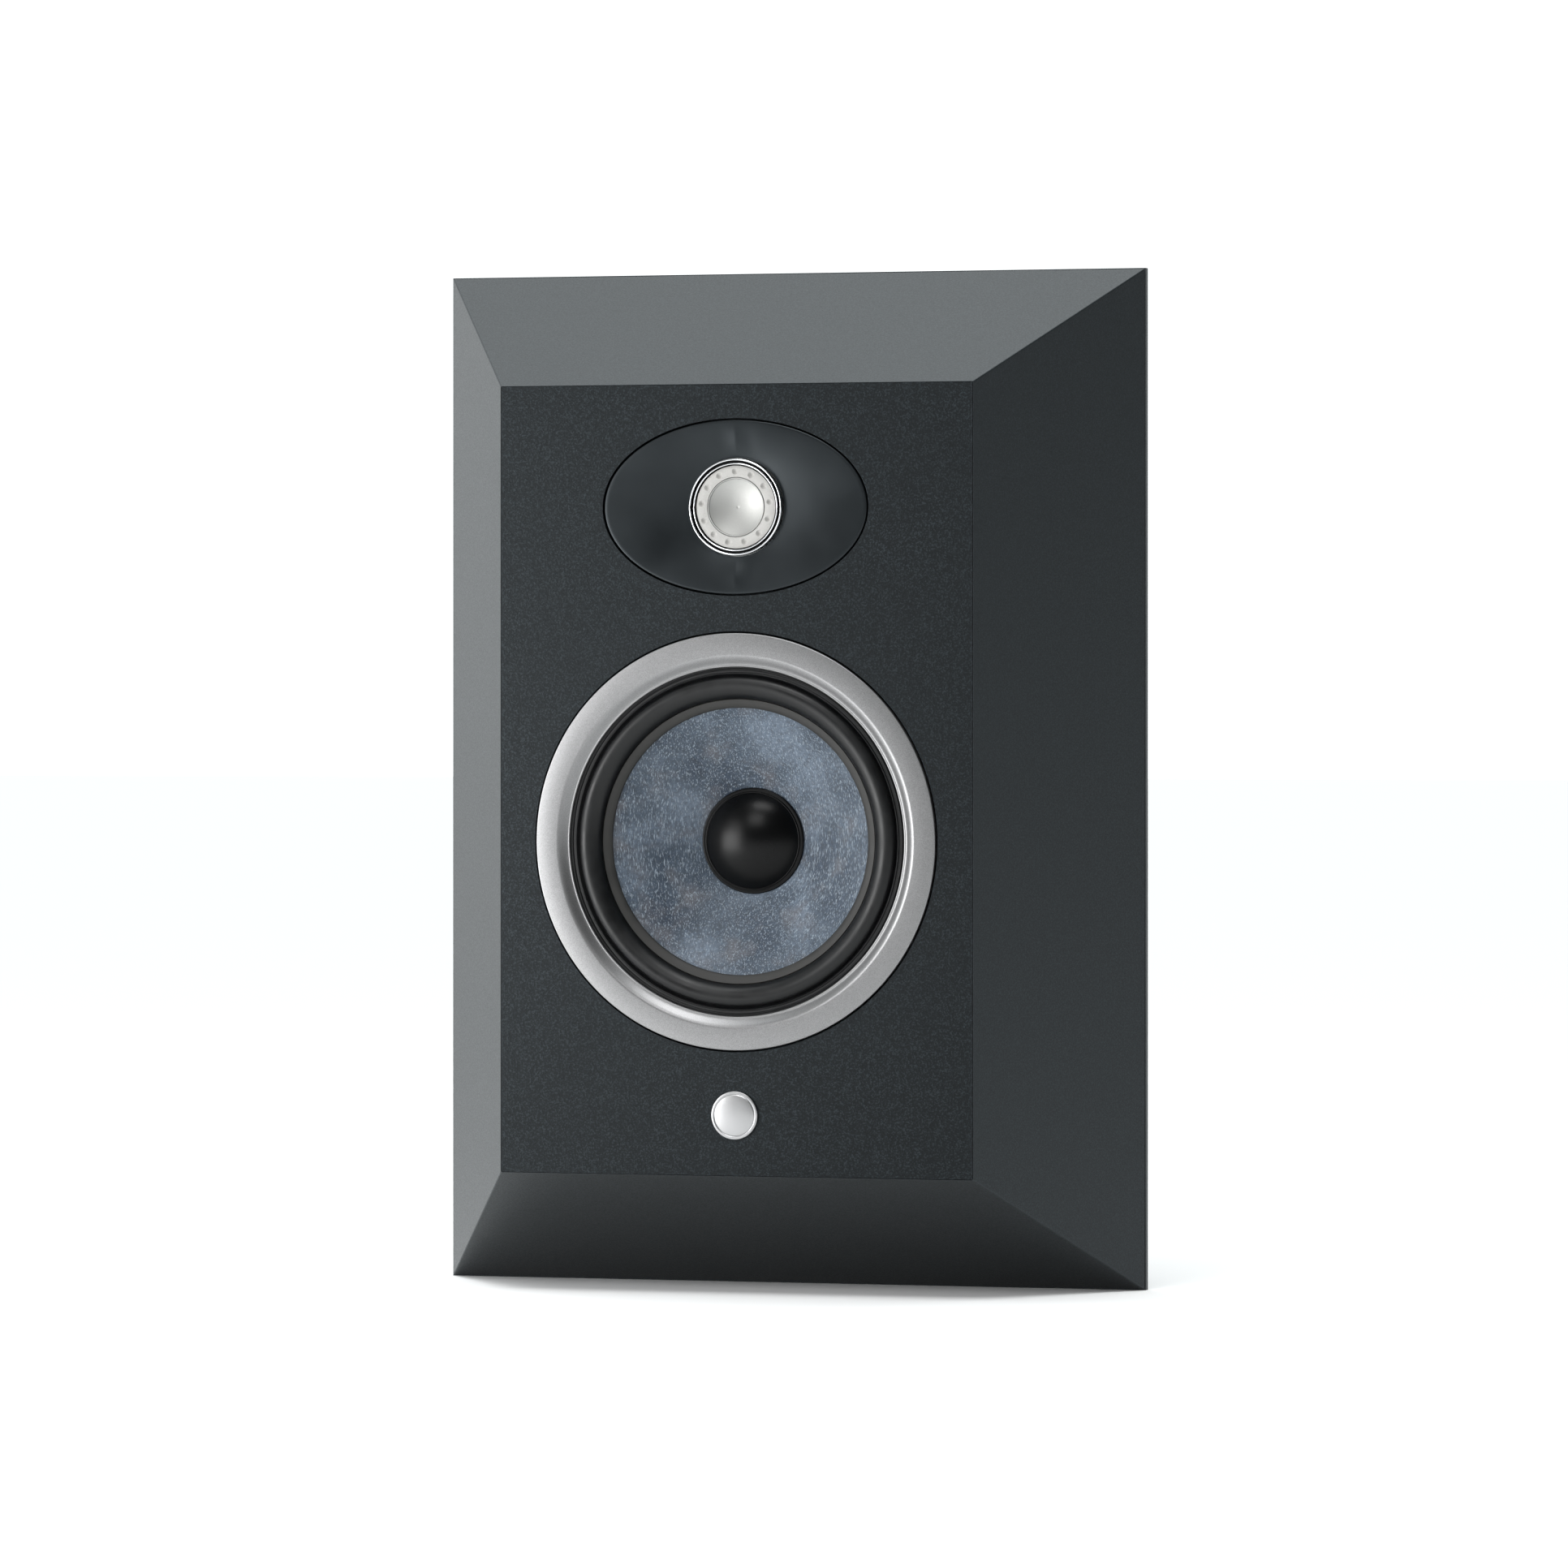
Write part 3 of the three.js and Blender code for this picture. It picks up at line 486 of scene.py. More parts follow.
def soft_rubber(name, colour, roughness, gloss=0.5):
    made = Finish(name, colour, roughness, Specular_IOR_Level=gloss)
    fine = made.noise(0.5, detail=3.0)
    dust = made.noise(6, detail=3.0)
    made.paint(made.ramp(dust, [(0.35, tuple(c * 0.85 for c in colour)), (0.70, tuple(c * 1.35 for c in colour))]))
    made.polish(dust, roughness - 0.05, roughness + 0.08)
    made.bump(fine, 0.008)
    return made.material


def foam(name, colour, relief=0.05):
    made = Finish(name, colour, 0.85)
    pores = made.cells(0.45)
    # the pores' dents are coloured darker than the foam: painted shade in the pores
    made.paint(made.ramp(pores, [(0.05, tuple(c * 0.82 for c in colour)), (0.5, colour)]))
    made.bump(pores, relief)
    return made.material


def wound_copper():
    made = Finish("enamelled_copper", (0.62, 0.27, 0.11), 0.3, 0.9)
    wave = made.tree.nodes.new("ShaderNodeTexWave")
    wave.bands_direction = "Y"
    wave.inputs["Scale"].default_value = 320
    wave.inputs["Distortion"].default_value = 0.4
    made.link(made.place, wave.inputs["Vector"])
    turns = wave.outputs["Fac"]
    # the ramp darkens the grooves between the turns: painted shade between the wires
    made.paint(made.ramp(turns, [(0.0, (0.22, 0.08, 0.03)), (0.6, (0.66, 0.29, 0.12))]))
    made.bump(turns, 0.12)
    return made.material


def woven_cloth(name, colour, thread=0.6):
    made = Finish(name, colour, 0.85)
    across = made.mapped(turn=(0, math.pi / 2, 0))
    bands = []
    for vector in (made.place, across):
        wave = made.tree.nodes.new("ShaderNodeTexWave")
        wave.bands_direction = "X"
        wave.inputs["Scale"].default_value = 0.3 / (thread * MM)
        made.link(vector, wave.inputs["Vector"])
        bands.append(wave.outputs["Fac"])
    weave = made.sum(bands[0], bands[1], "MULTIPLY")
    # the ramp darkens the gaps between the threads to half: painted shade between the threads
    made.paint(made.ramp(weave, [(0.1, tuple(c * 0.5 for c in colour)), (0.7, colour)]))
    made.bump(weave, 0.12)
    return made.material


MATERIALS = {
    "textured_vinyl": grained_vinyl("grained_baffle_vinyl", (0.0022, 0.0028, 0.0032), 0.65, 0.09, 0.44, 8.0, 0.22),
    "bevel_vinyl": grained_vinyl("fine_cabinet_vinyl", (0.0072, 0.0090, 0.0102), 0.60, 0.020, 0.38, 2.0, 0.45),
    "back_vinyl": grained_vinyl("back_panel_vinyl", (0.020, 0.021, 0.023), 0.5, 0.05, 0.6, 1.5),
    "badge_metal": metal("satin_badge", (0.42, 0.42, 0.425), 0.34, relief=0.002),
    "wadding": foam("polyester_wadding", (0.80, 0.80, 0.77), 0.4),
    "faceplate": satin_plastic("tweeter_plate_paint", (0.0045, 0.0056, 0.0064), 0.32, relief=0, gloss=0.32, tint=COOL),
    "chrome_ring": metal("bright_chrome", (0.80, 0.81, 0.83), 0.09, relief=0.0005, spread=0.03),
    "suspension_foam": foam("tweeter_foam", (0.40, 0.393, 0.378), 0.015),
    "dome_metal": metal("dome_alloy", (0.36, 0.36, 0.349), 0.54, grain=0.3, relief=0.004),
    "coil_copper": wound_copper(),
    "zinc_steel": metal("zinc_plate", (0.55, 0.56, 0.54), 0.35),
    "ferrite": satin_plastic("ferrite_magnet", (0.040, 0.040, 0.043), 0.7, grain=0.5, relief=0.03),
    "black_plastic": satin_plastic("black_moulding", (0.016, 0.017, 0.019), 0.38),
    "satin_silver": satin_silver(),
    "gasket_foam": foam("gasket_foam", (0.04, 0.04, 0.04)),
    "basket_paint": satin_plastic("basket_paint", (0.022, 0.022, 0.024), 0.5, grain=0.4, relief=0.02),
    "surround_rubber": soft_rubber("surround_rubber", (0.0028, 0.0031, 0.0035), 0.38, 0.34),
    "fibre_cone": fibre_cone(),
    "dust_cap": satin_plastic("dust_cap_black", (0.0012, 0.0013, 0.0015), 0.29, relief=0, gloss=0.17),
    "coil_former": satin_plastic("amber_film", (0.45, 0.22, 0.05), 0.3),
    "spider_cloth": woven_cloth("spider_cloth", (0.55, 0.36, 0.08)),
    "fibre_strip": satin_plastic("pressed_fibre", (0.20, 0.12, 0.06), 0.7, grain=0.3, relief=0.03),
    "tinsel": woven_cloth("tinsel_braid", (0.66, 0.42, 0.24), thread=0.25),
    "screw_steel": metal("black_zinc", (0.10, 0.10, 0.105), 0.36),
    "gold_brass": metal("gold_plate", (0.86, 0.62, 0.26), 0.18),
    "red_plastic": satin_plastic("red_moulding", (0.42, 0.012, 0.012), 0.28),
    "board_resin": satin_plastic("solder_mask", (0.02, 0.10, 0.04), 0.35),
    "capacitor_film": satin_plastic("capacitor_sleeve", (0.03, 0.03, 0.04), 0.2),
    "resistor_ceramic": satin_plastic("cement", (0.72, 0.70, 0.65), 0.85, grain=0.6, relief=0.05),
    "cement_lip": soft_rubber("grey_cement", (0.016, 0.0156, 0.0145), 0.60),
    "cable_jacket": soft_rubber("cable_jacket", (0.045, 0.045, 0.05), 0.5),
}

SLOT_OF = {entry["node"]: entry["material_slot"] for entry in frame["record"]["subparts"]}
BODY_OF = {
    node: body for body, nodes in frame["record"]["behaviour"]["bodies"].items() for node in nodes
}


def second_finish(obj, material, chosen, centre):
    """Gives the faces whose middle lies at a chosen radius another finish."""
    obj.data.materials.append(material)
    for face in obj.data.polygons:
        spot = (face.center - centre) / MM
        if chosen(math.hypot(spot.x, spot.z)):
            face.material_index = 1


def replace_node(obj, node, body=True):
    slot = SLOT_OF[node]
    return stand_for(obj, [node], BODY_OF[node] if body else None, MATERIALS[slot])


# ------------------------------------------------------------------ cabinet


def half_sizes(depth, inner=False):
    """Half the cabinet's width and height at a depth, outside or inside its bevelled boards."""
    share = depth / BEVEL_DEPTH
    sizes = []
    for front, back in zip(FRONT_HALF, BACK_HALF):
        slope = math.hypot(1, (back - front) / BEVEL_DEPTH)
        sizes.append(front + (back - front) * share - (WALL * slope if inner else 0))
    return sizes


def board_corner(side_x, side_z, depth, inner=False):
    half_width, half_height = half_sizes(depth, inner)
    return Vector((side_x * half_width * MM, FACE + depth * MM, side_z * half_height * MM))


def bevelled_boards():
    """Four mitred boards cut from one ring, so that their creases are one rounded edge."""
    signs = [(1, 1), (-1, 1), (-1, -1), (1, -1)]
    section = [(0, False), (BOARD_REAR, False), (BOARD_REAR, True), (BAFFLE_REAR, True)]
    ring = bmesh.new()
    loops = [[ring.verts.new(board_corner(*sign, *place)) for sign in signs] for place in section]
    creases = []
    for i, loop in enumerate(loops):
        following = loops[(i + 1) % 4]
        for j in range(4):
            k = (j + 1) % 4
            ring.faces.new((loop[j], loop[k], following[k], following[j]))
    for j in range(4):
        creases.append(ring.edges.get((loops[0][j], loops[1][j])))
        creases.append(ring.edges.get((loops[1][j], loops[1][(j + 1) % 4])))
    bmesh.ops.recalc_face_normals(ring, faces=ring.faces)
    settings = {"segments": 3, "profile": 0.5, "affect": "EDGES", "clamp_overlap": True}
    bmesh.ops.bevel(ring, geom=creases, offset=0.55 * MM, **settings)
    front_edges = [
        e for e in ring.edges if all(abs(v.co.y - FACE) < 1e-6 for v in e.verts)
    ]
    bmesh.ops.bevel(ring, geom=front_edges, offset=0.22 * MM, **settings)

    def mitre(side_x, side_z):
        start, end = (board_corner(side_x, side_z, depth) for depth in (0, BOARD_REAR))
        inside = board_corner(side_x, side_z, BOARD_REAR, True)
        return start, (end - start).cross(inside - start).normalized()

    sides = {
        "right_side_panel": ((1, 1), (1, -1), Vector((1, 0, 0))),
        "left_side_panel": ((-1, 1), (-1, -1), Vector((-1, 0, 0))),
        "top_panel": ((1, 1), (-1, 1), Vector((0, 0, 1))),
        "bottom_panel": ((1, -1), (-1, -1), Vector((0, 0, -1))),
    }
    for node, (first, second, outward) in sides.items():
        work = ring.copy()
        for corner in (first, second):
            place, normal = mitre(*corner)
            if normal.dot(outward) > 0:
                normal = -normal
            geometry = [*work.verts, *work.edges, *work.faces]
            bmesh.ops.bisect_plane(
                work, geom=geometry, dist=1e-7, plane_co=place, plane_no=normal, clear_outer=True
            )
            bmesh.ops.holes_fill(work, edges=[e for e in work.edges if e.is_boundary], sides=0)
        mesh = bpy.data.meshes.new(f"{node}_wrapped")
        bmesh.ops.recalc_face_normals(work, faces=work.faces)
        work.to_mesh(mesh)
        work.free()
        board_object = bpy.data.objects.new(f"{node}_wrapped", mesh)
        bpy.context.scene.collection.objects.link(board_object)
        replace_node(flat_faced(finish_mesh(board_object, 30)), node)
    ring.free()
    replace_node(refined("back_panel", edge=0.9, segments=3), "back_panel")


def front_baffle():
    """A skin with the drivers' seats, and the core behind it with the bores."""
    low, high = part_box("front_baffle")
    half_width, half_height = high.x / MM + 0.2, high.z / MM + 0.2
    seat_depth, thickness = 6.6, (high.y - low.y) / MM
    taper = 0.34  # the mitre draws the edge in by this share of the depth
    woofer_z, tweeter_z, badge_z = WOOFER.z / MM, TWEETER.z / MM, BADGE.z / MM
    edge = [(-half_width, -half_height), (half_width, -half_height), (half_width, half_height), (-half_width, half_height)]
    plate_low, plate_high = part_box("tweeter_faceplate")
    groove = 0.7
    oval = (plate_high.x / MM + groove, (plate_high.z - plate_low.z) / 2 / MM + groove)
    skin_cuts = [
        ellipse(85.5, 85.5, woofer_z, LARGE_ROUND),
        ellipse(*oval, tweeter_z, LARGE_ROUND),
        ellipse(1.6, 1.6, badge_z, 24),
    ]
    core_cuts = [ellipse(73.9, 73.9, woofer_z, LARGE_ROUND), ellipse(31, 31, tweeter_z)]
    skin = board("baffle_skin", [edge, *skin_cuts], (0, seat_depth), edge=0.15)
    core = board("baffle_core", [edge, *core_cuts], (seat_depth, thickness), edge=0.1)
    for piece in (skin, core):
        for vertex in piece.data.vertices:
            depth = vertex.co.y - FACE
            for axis, reach in ((0, 95), (2, 155)):
                if abs(vertex.co[axis]) > reach * MM:
                    vertex.co[axis] -= math.copysign(taper * depth, vertex.co[axis])
        replace_node(piece, "front_baffle")
    return skin


def badge():
    """A plain domed disc with a fine groove inside its rim."""
    disc = turned("badge_disc", [
        (0, -1.5),
        (3, -1.46),
        (6, -1.30),
        (8.2, -1.05, 0.2),
        (8.5, -0.8, 0.1),
        (8.8, -1.05, 0.15),
        (9.8, -1.0, 0.3),
        (9.8, -0.3, 0.1),
        (1.2, -0.3),
        (1.2, 5),
        (0, 5),
    ], BADGE, SMALL_ROUND)
    replace_node(disc, "badge")


def wadding():
    """Loose fibre: the slab's surface is pushed in and out by smooth noise."""
    low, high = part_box("acoustic_wadding")
    slab = refined("acoustic_wadding", edge=3, segments=3)
    slab.modifiers.clear()
    work = bmesh.new()
    work.from_mesh(slab.data)
    bmesh.ops.triangulate(work, faces=work.faces)
    for _ in range(5):
        long_edges = [e for e in work.edges if e.calc_length() > 6 * MM]
        if not long_edges:
            break
        bmesh.ops.subdivide_edges(work, edges=long_edges, cuts=1)
        bmesh.ops.triangulate(work, faces=[f for f in work.faces if len(f.verts) > 3])
    middle = (low + high) / 2
    for vertex in work.verts:
        lump = noise.noise(vertex.co * 60) * 1.6 + noise.noise(vertex.co * 220) * 0.7
        inward = (middle - vertex.co).normalized()
        vertex.co += inward * (1.6 + lump) * MM
    work.to_mesh(slab.data)
    work.free()
    replace_node(finish_mesh(slab, 60), "acoustic_wadding")


# ------------------------------------------------------------------ woofer

ROLL = {"outer": 67.2, "inner": 58.2, "height": 4.0}
CONE = {"edge": 57.5, "slope": 0.56, "cap_rim": 21.7, "cap_depth": 25.6, "neck": 19.3}


def cone_depth(radius):
    return CONE["cap_depth"] - CONE["slope"] * (radius - CONE["cap_rim"])


def woofer_trim_ring():
    """A flat face that rolls down into the hole and ends in a fine bead."""
    roll = []
    for i in range(13):
        share = i / 12
        ease = share * share * (3 - 2 * share)
        roll.append((76.2 - 4.3 * share, -1 + 2.35 * ease * (0.55 + 0.45 * share)))
    ring = turned("woofer_ring", [
        (84.8, 2.9),
        (84.8, -0.95, 0.45),
        *roll,
        (71.6, 1.30, 0.1),
        (71.2, 1.38, 0.15),
        (71.2, 1.95, 0.1),
        (72.6, 1.95),
        (76.0, 0.9),
        (83.2, 0.9),
        (83.2, 2.9),
    ], WOOFER)
    replace_node(ring, "woofer_trim_ring")


def woofer_surround():
    middle = (ROLL["outer"] + ROLL["inner"]) / 2
    half = (ROLL["outer"] - ROLL["inner"]) / 2
    steps = 28

    def bead(radius, height=0.55, width=0.45):
        return [(radius + width * c, 2.35 - height * (1 - c * c)) for c in (1, 0.6, 0.3, 0, -0.3, -0.6, -1)]

    land = [(73.0, 2.2), (71.1, 2.3), *bead(70.2), *bead(68.5), (67.75, 2.7), (67.4, 3.0)]
    roll = []
    for i in range(1, steps):
        angle = i * math.pi / steps
        roll.append((middle + half * math.cos(angle), 4 - math.cos(angle) - ROLL["height"] * math.sin(angle)))
    lip = [(58.1, 4.9), (57.8, cone_depth(57.8) - 0.75), (56.2, cone_depth(56.2) - 1.0), (54.7, cone_depth(54.7) - 0.95), (54.4, cone_depth(54.4) - 0.55)]
    front = [*land, *roll, *lip]
    back = []
    for radius, depth in reversed(front):
        glued = radius < ROLL["inner"]
        back.append((radius, cone_depth(radius) - 0.25 if glued else depth + 0.7))
    ring = turned("woofer_surround_rubber", front + back, WOOFER)
    replace_node(ring, "woofer_surround", body=False)
    second_finish(ring, MATERIALS["cement_lip"], lambda radius: radius < 57.95, WOOFER)
    blend_by_radius(ring)


def woofer_cone():
    steps = 24
    radii = [CONE["edge"] + (CONE["neck"] - CONE["edge"]) * i / steps for i in range(steps + 1)]
    front = [(r, cone_depth(r)) for r in radii]
    back = [(r, cone_depth(r) + 1.0) for r in reversed(radii) if r > CONE["neck"] + 1.2]
    collar = [(CONE["neck"], 30, 0.2), (CONE["neck"] + 1, 30, 0.2)]
    cone = turned("woofer_cone_fibre", [*front, *collar, *back], WOOFER)
    replace_node(cone, "woofer_cone")


def woofer_dust_cap():
    """A black rim, a fine step, then the dome."""
    rise, base, radius = 7.7, 24.45, 19.5
    steps = 22
    sphere = (radius**2 + rise**2) / (2 * rise)

    def dome(shrink):
        points = []
        for i in range(steps + 1):
            r = (radius - shrink) * i / steps
            points.append((r, base - rise + sphere - math.sqrt(sphere**2 - r * r) + shrink))
        return points

    cap = turned("woofer_cap", [
        *dome(0),
        (19.7, 24.3, 0.1),
        (20.0, 24.3, 0.1),
        (20.2, 24.75, 0.1),
        (21.3, 24.65, 0.3),
        (21.7, 25.0, 0.2),
        (21.7, 25.35),
        (19.6, 25.6),
        *reversed(dome(0.7)),
    ], WOOFER)
    replace_node(cap, "woofer_dust_cap")


def woofer_spider():
    mean, waves, start, end, outer = 36.3, 5, 22, 43, 47
    steps = waves * 12
    line = [(CONE["neck"], mean)]
    for i in range(steps + 1):
        share = i / steps
        line.append((start + (end - start) * share, mean + 1.1 * math.sin(waves * 2 * math.pi * share)))
    line.append((outer, mean))
    back = [(r, depth + 0.5) for r, depth in reversed(line)]
    spider = turned("woofer_spider_cloth", line + back, WOOFER, 128)
    replace_node(spider, "woofer_spider", body=False)
    blend_by_radius(spider)


def tinsel_leads():
    for name, side in (("tinsel_lead_upper", 1), ("tinsel_lead_lower", -1)):
        z = 5 * side
        route = [
            (-60.5, 39.8, z),
            (-60.5, 34, z),
            (-56, 29, z * 1.1),
            (-48, 27.5, z * 1.2),
            (-41, 25, z * 1.2),
            (-37.5, 20.2, z * 1.2),
        ]
        points = [WOOFER + Vector(p) * MM for p in route]
        lead = tube(f"{name}_braid", points, 0.6)
        replace_node(lead, name, body=False)
        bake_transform(lead)


# ------------------------------------------------------------------ tweeter


def tweeter_faceplate():
    """Oval plate: a shallow horn that a soft ridge crosses above and below the ring."""
    low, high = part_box("tweeter_faceplate")
    half_width, half_height = high.x / MM, (high.z - low.z) / 2 / MM
    bore, thickness, rim = 20.1, (high.y - low.y) / MM, 0.5
    sides, steps = 384, 30

    def edge_radius(angle):
        return half_width * half_height / math.hypot(half_height * math.cos(angle), half_width * math.sin(angle))

    def depth_at(share, angle):
        horn = 2.3 * (1 - share) ** 1.7
        radius = bore + (edge_radius(angle) - rim - bore) * share
        off_axis = abs(radius * math.cos(angle))
        crest = math.exp(-math.hypot(off_axis, 0.5) / 2.6) * math.sin(math.pi * min(1, share)) ** 1.5
        hollow = math.exp(-((off_axis - 5.5) / 3.5) ** 2) * math.sin(math.pi * min(1, share)) ** 2
        return 0.15 + horn - 0.26 * crest + 0.12 * hollow

    angles = [2 * math.pi * j / sides for j in range(sides)]

    def loop(radius_of, depth_of):
        return [
            (radius_of(a) * math.cos(a), depth_of(a), radius_of(a) * math.sin(a)) for a in angles
        ]

    loops = [loop(lambda a: bore, lambda a: 3.9)]
    for i in range(steps + 1):
        share = i / steps
        loops.append(loop(
            lambda a, s=share: bore + (edge_radius(a) - rim - bore) * s,
            lambda a, s=share: depth_at(s, a),
        ))
    for i in (1, 2, 3):
        turn = i * math.pi / 6
        loops.append(loop(
            lambda a, t=turn: edge_radius(a) - rim + rim * math.sin(t),
            lambda a, t=turn: depth_at(1, a) + rim * (1 - math.cos(t)),
        ))
    loops.append(loop(edge_radius, lambda a: thickness))
    loops.append(loop(lambda a: bore + 2, lambda a: thickness))
    plate = loops_surface("tweeter_plate", loops, TWEETER)
    replace_node(plate, "tweeter_faceplate")


def tweeter_trim_ring():
    """Two bright beads with a groove between them; the groove and the inner step are given the black cap finish as
    painted shade.
    """
    def bead(centre_radius, top, radius):
        return [
            (centre_radius - radius * math.cos(a), top + radius - radius * math.sin(a))
            for a in (i * math.pi / 8 for i in range(9))
        ]

    ring = turned("tweeter_ring", [
        (17.05, 2.2),
        (17.05, 1.4),
        (17.3, 1.6),
        *bead(17.66, 0.35, 0.30),
        (18.0, 1.9),
        (18.9, 1.9),
        *bead(19.33, 0.05, 0.37),
        (19.8, 1.2),
        (19.8, 2.2),
    ], TWEETER, LARGE_ROUND)
    replace_node(ring, "tweeter_trim_ring")
    # faces inside the inner bead and in the groove between the beads get the near-black cap finish: painted shade
    second_finish(ring, MATERIALS["dust_cap"], lambda radius: radius < 17.33 or abs(radius - 18.46) < 0.5, TWEETER)


def tweeter_suspension():
    """Foam ring with round dimples pressed into it."""
    inner, outer = 12.25, 16.8
    pitch_radius, dimple_radius, dimple_depth = 14.5, 1.3, 1.1
    sides, steps = DIMPLES * 30, 26
    spacing = 2 * math.pi / DIMPLES
    first = math.pi / 2 + 0.02

    def depth_at(radius, angle):
        share = (radius - inner) / (outer - inner)
        crown = 1.30 - 0.30 * math.sin(math.pi * share)
        off = (angle - first + spacing / 2) % spacing - spacing / 2
        distance = math.hypot(radius - pitch_radius, off * pitch_radius) / dimple_radius
        press = dimple_depth * (1 - min(1, distance) ** 2)
        return crown + press

    loops = []
    for i in range(steps + 1):
        radius = inner + (outer - inner) * i / steps
        loop = []
        for j in range(sides):
            angle = 2 * math.pi * j / sides
            loop.append((radius * math.cos(angle), depth_at(radius, angle), radius * math.sin(angle)))
        loops.append(loop)
    loops.append(circle(outer, 2.2, sides))
    loops.append(circle(inner, 2.2, sides))
    ring = loops_surface("tweeter_foam_ring", loops, TWEETER)
    replace_node(ring, "tweeter_suspension", body=False)
    blend_by_radius(ring)


def tweeter_dome():
    """Inverted dome with a rolled rim and a pin-prick dimple in the middle."""
    rim, hollow, depth = 11.8, 2.6, 1.5
    steps = 24
    dish = []
    for i in range(steps + 1):
        radius = rim * 0.965 * i / steps
        prick = 0.22 * max(0, 1 - (radius / 0.55) ** 2) ** 2
        dish.append((radius, depth + hollow * (1 - (radius / rim) ** 2) + prick))
    front = [*dish, (11.55, 1.25, 0.12), (11.9, 1.15, 0.15), (12.1, 1.5, 0.1)]
    back = [(11.8, 2.1)] + [(r, d + 0.45) for r, d in reversed(dish)]
    dome = turned("tweeter_dome_shell", [*front, *back], TWEETER, SMALL_ROUND)
    replace_node(dome, "tweeter_dome")


# ------------------------------------------------------------------ hidden parts and the rear


def crossed_screw(node, head_radius):
    """The screw with a cross recess cut into its head."""
    obj = refined(node, edge=0.15)
    low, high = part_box(node)
    middle = (low + high) / 2
    top = high.y
    width, length, sink = head_radius * 0.22, head_radius * 1.15, head_radius * 0.42
    cutter = bmesh.new()
    for size in ((length, width), (width, length)):
        made = bmesh.ops.create_cube(cutter, size=1)
        scale = Matrix.Diagonal((size[0] * MM, 2 * sink * MM, size[1] * MM, 1))
        bmesh.ops.transform(cutter, matrix=Matrix.Translation((middle.x, top, middle.z)) @ scale, verts=made["verts"])
    mesh = bpy.data.meshes.new("cross")
    cutter.to_mesh(mesh)
    cutter.free()
    cross = bpy.data.objects.new("cross", mesh)
    bpy.context.scene.collection.objects.link(cross)
    obj.modifiers.clear()
    cut = obj.modifiers.new("recess", "BOOLEAN")
    cut.object = cross
    cut.operation = "DIFFERENCE"
    cut.solver = "EXACT"
    cut.use_self = True
    bpy.context.view_layer.update()
    final = bpy.data.meshes.new_from_object(obj.evaluated_get(bpy.context.evaluated_depsgraph_get()))
    obj.modifiers.clear()
    obj.data = final
    bpy.data.objects.remove(cross)
    return finish_mesh(obj, 40)


EDGES = {
    "woofer_gasket": 0.1,
    "woofer_basket": 0.3,
    "woofer_coil_former": 0,
    "woofer_coil_winding": 0.2,
    "woofer_top_plate": 0.4,
    "woofer_magnet": 0.8,
    "woofer_yoke": 0.5,
    "woofer_tag_strip": 0.15,
    "woofer_screw_1": 0.15,
    "woofer_screw_2": 0.15,
    "woofer_screw_3": 0.15,
    "woofer_screw_4": 0.15,
    "tweeter_voice_coil": 0.1,
    "tweeter_top_plate": 0.3,
    "tweeter_magnet": 0.6,
    "tweeter_yoke": 0.4,
    "tweeter_rear_cup": 0.3,
    "terminal_cup": 0.35,
    "post_stud_red": 0.25,
    "post_stud_black": 0.25,
    "post_collar_red": 0.4,
    "post_collar_black": 0.4,
    "post_washer_red": 0.2,
    "post_washer_black": 0.2,
    "post_knob_red": 0.35,
    "post_knob_black": 0.35,
    "hanger_plate": 0.25,
    "crossover_board": 0.15,
    "inductor_woofer": 1.0,
    "inductor_tweeter": 0.8,
    "capacitor": 0.8,
    "resistor": 0.5,
    "input_cable": 0,
    "woofer_cable": 0,
    "tweeter_cable": 0,
}


def other_parts():
    for node, edge in EDGES.items():
        replace_node(refined(node, edge=edge), node)
    for i in (1, 2, 3, 4):
        replace_node(crossed_screw(f"cup_screw_{i}", 2.7), f"cup_screw_{i}")
    for side in ("left", "right"):
        replace_node(crossed_screw(f"hanger_screw_{side}", 3.2), f"hanger_screw_{side}")


# ------------------------------------------------------------------ studio

# Each row: direction, where its glow starts and ends (as a cosine), dimmest and brightest strength.
SKY = [
    ((-0.55, 0.83, 0), -0.35, 0.55, 0.09, 1.25),
    ((0, 0, 1), 0.74, 0.97, 0.0, 1.90),
]


def floor():
    bpy.ops.mesh.primitive_plane_add(size=40, location=(0, 0, FLOOR_Z))
    ground = bpy.context.object
    ground.name = "studio_floor"
    pale = Finish("studio_floor", (0.92, 0.92, 0.92), 0.9)
    pale.set("Specular IOR Level", 0.0)
    ground.data.materials.append(pale.material)


def area_light(name, place, target, size, power, colour=(1, 1, 1)):
    data = bpy.data.lights.new(name, "AREA")
    data.shape = "RECTANGLE"
    data.size, data.size_y = size
    data.energy = power
    data.color = colour
    obj = bpy.data.objects.new(name, data)
    obj.location = place
    obj.rotation_euler = (Vector(target) - Vector(place)).to_track_quat("-Z", "Y").to_euler()
    obj.visible_camera = False
    bpy.context.scene.collection.objects.link(obj)
    return obj


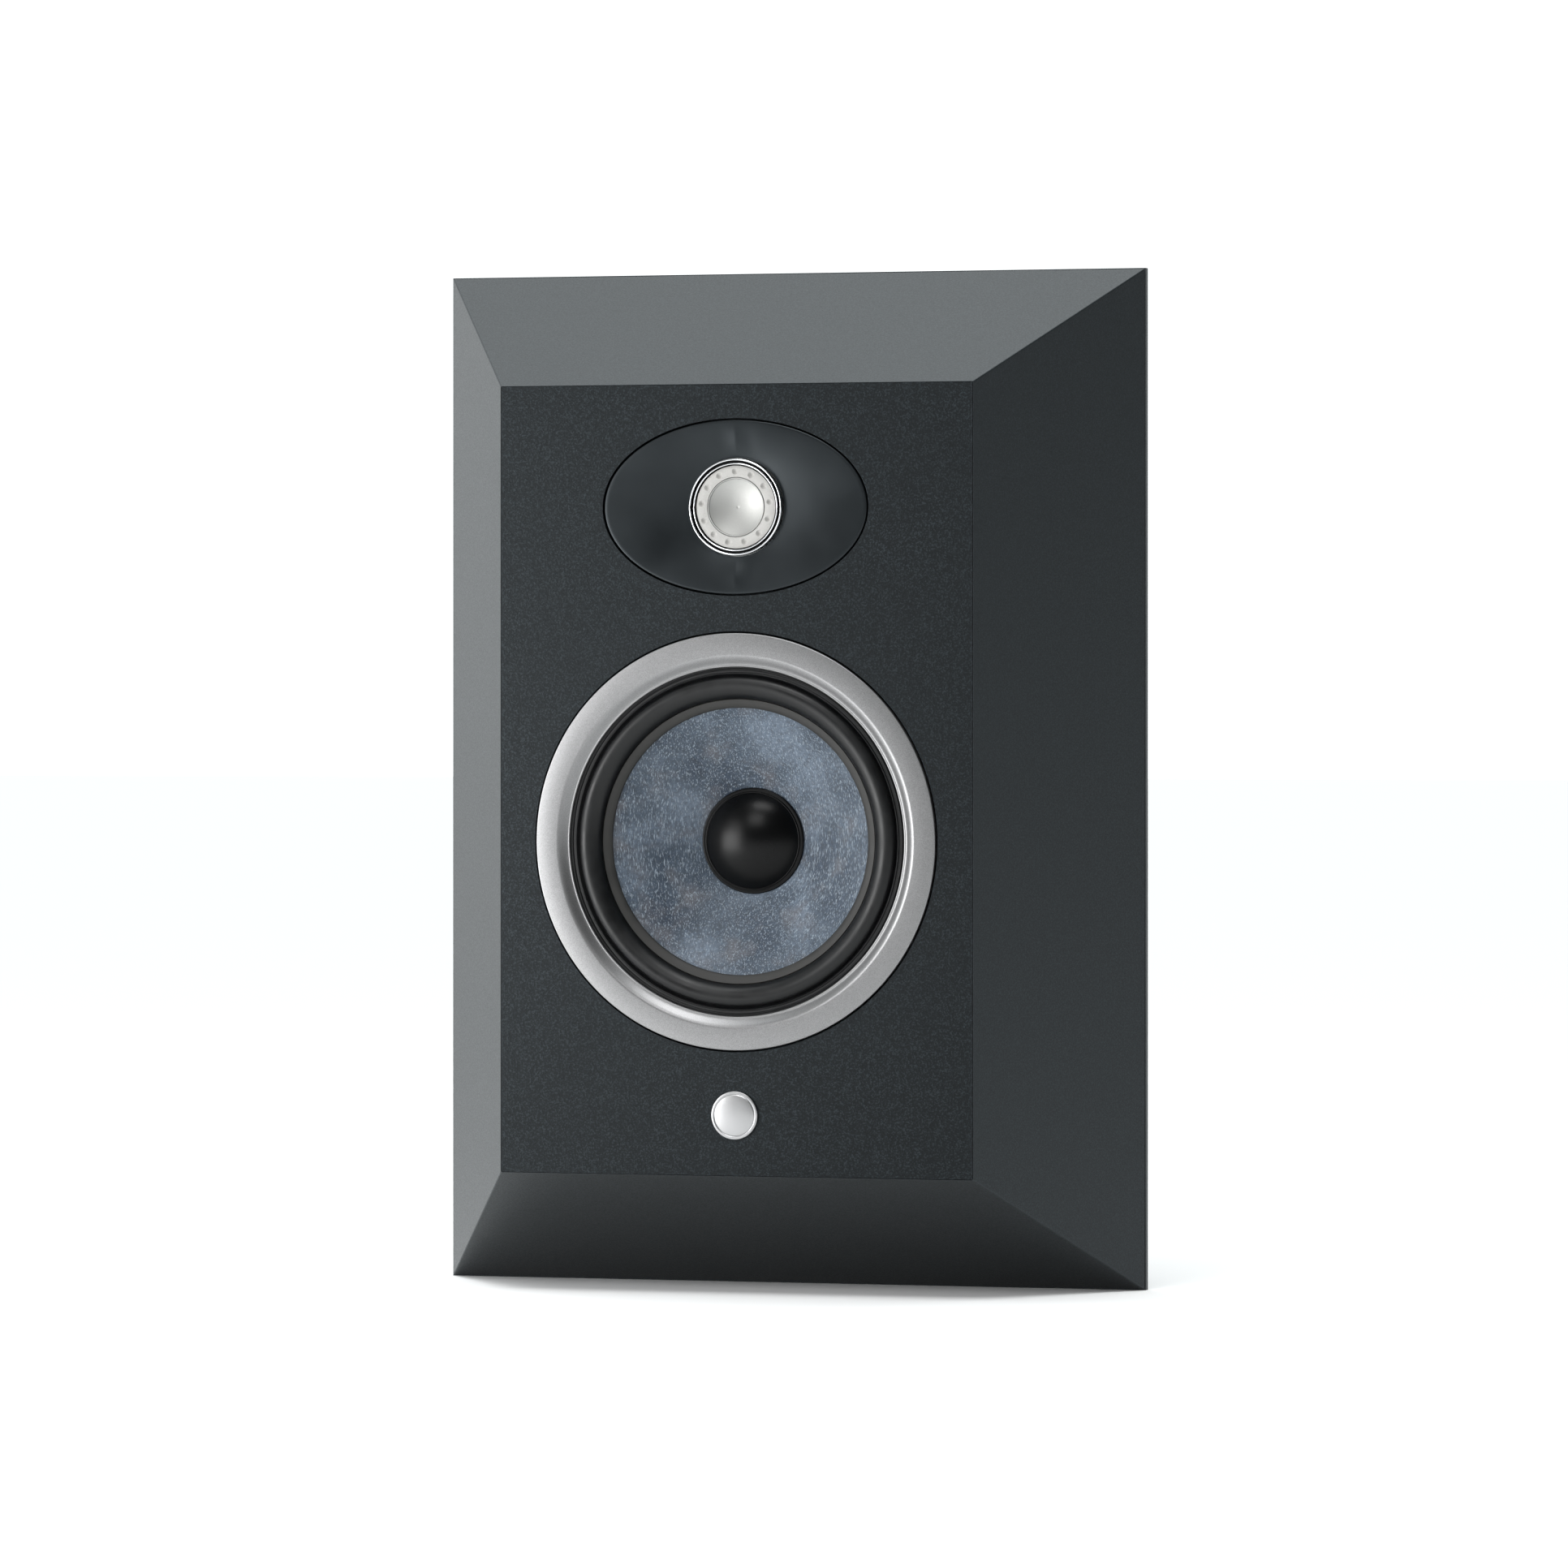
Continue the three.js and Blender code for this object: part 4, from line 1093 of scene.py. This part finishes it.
def lights():
    """A white room, brightest overhead and behind, with four softboxes in front of the speaker."""
    world = bpy.data.worlds.new("studio")
    bpy.context.scene.world = world
    world.use_nodes = True
    nodes, links = world.node_tree.nodes, world.node_tree.links
    direction = nodes.new("ShaderNodeTexCoord").outputs["Generated"]
    total = None
    for axis, fade_start, fade_end, dim, bright in SKY:
        along = nodes.new("ShaderNodeVectorMath")
        along.operation = "DOT_PRODUCT"
        along.inputs[1].default_value = Vector(axis).normalized()
        links.new(direction, along.inputs[0])
        fade = nodes.new("ShaderNodeMapRange")
        fade.interpolation_type = "SMOOTHSTEP"
        settings = {"From Min": fade_start, "From Max": fade_end, "To Min": dim, "To Max": bright}
        for socket, number in settings.items():
            fade.inputs[socket].default_value = number
        links.new(along.outputs["Value"], fade.inputs["Value"])
        if total is None:
            total = fade.outputs["Result"]
            continue
        both = nodes.new("ShaderNodeMath")
        links.new(total, both.inputs[0])
        links.new(fade.outputs["Result"], both.inputs[1])
        total = both.outputs["Value"]
    links.new(total, nodes["Background"].inputs["Strength"])
    nodes["Background"].inputs["Color"].default_value = (0.965, 1.0, 1.005, 1)
    area_light("softbox_left", (-0.62, -0.66, -0.10), WOOFER, (0.44, 0.50), 6.3)
    area_light("softbox_key", (-0.66, -0.80, 0.25), WOOFER, (0.40, 0.40), 1.6)
    area_light("softbox_above", (-0.13, -1.45, 0.96), WOOFER, (0.66, 0.50), 5.3)
    area_light("softbox_top", (0.05, -0.85, 1.55), WOOFER, (0.80, 0.60), 9.3)


def camera():
    """Long lens, level, from the right of the speaker's axis and a little above its middle."""
    data = bpy.data.cameras.new("camera")
    obj = bpy.data.objects.new("camera", data)
    bpy.context.scene.collection.objects.link(obj)
    obj.location = (1.008, FACE - 3.245, 0.035)
    yaw = math.radians(16.92)
    obj.rotation_euler = (math.pi / 2, 0, yaw)
    data.sensor_width = 36
    data.lens = 192
    data.shift_y = -0.0575
    data.clip_start, data.clip_end = 0.05, 100
    bpy.context.scene.camera = obj


# ------------------------------------------------------------------ build

camera()
bevelled_boards()
front_baffle()
badge()
wadding()
woofer_trim_ring()
woofer_surround()
woofer_cone()
woofer_dust_cap()
woofer_spider()
tinsel_leads()
tweeter_faceplate()
tweeter_trim_ring()
tweeter_suspension()
tweeter_dome()
other_parts()
floor()
lights()
bpy.context.scene.view_settings.view_transform = "Standard"
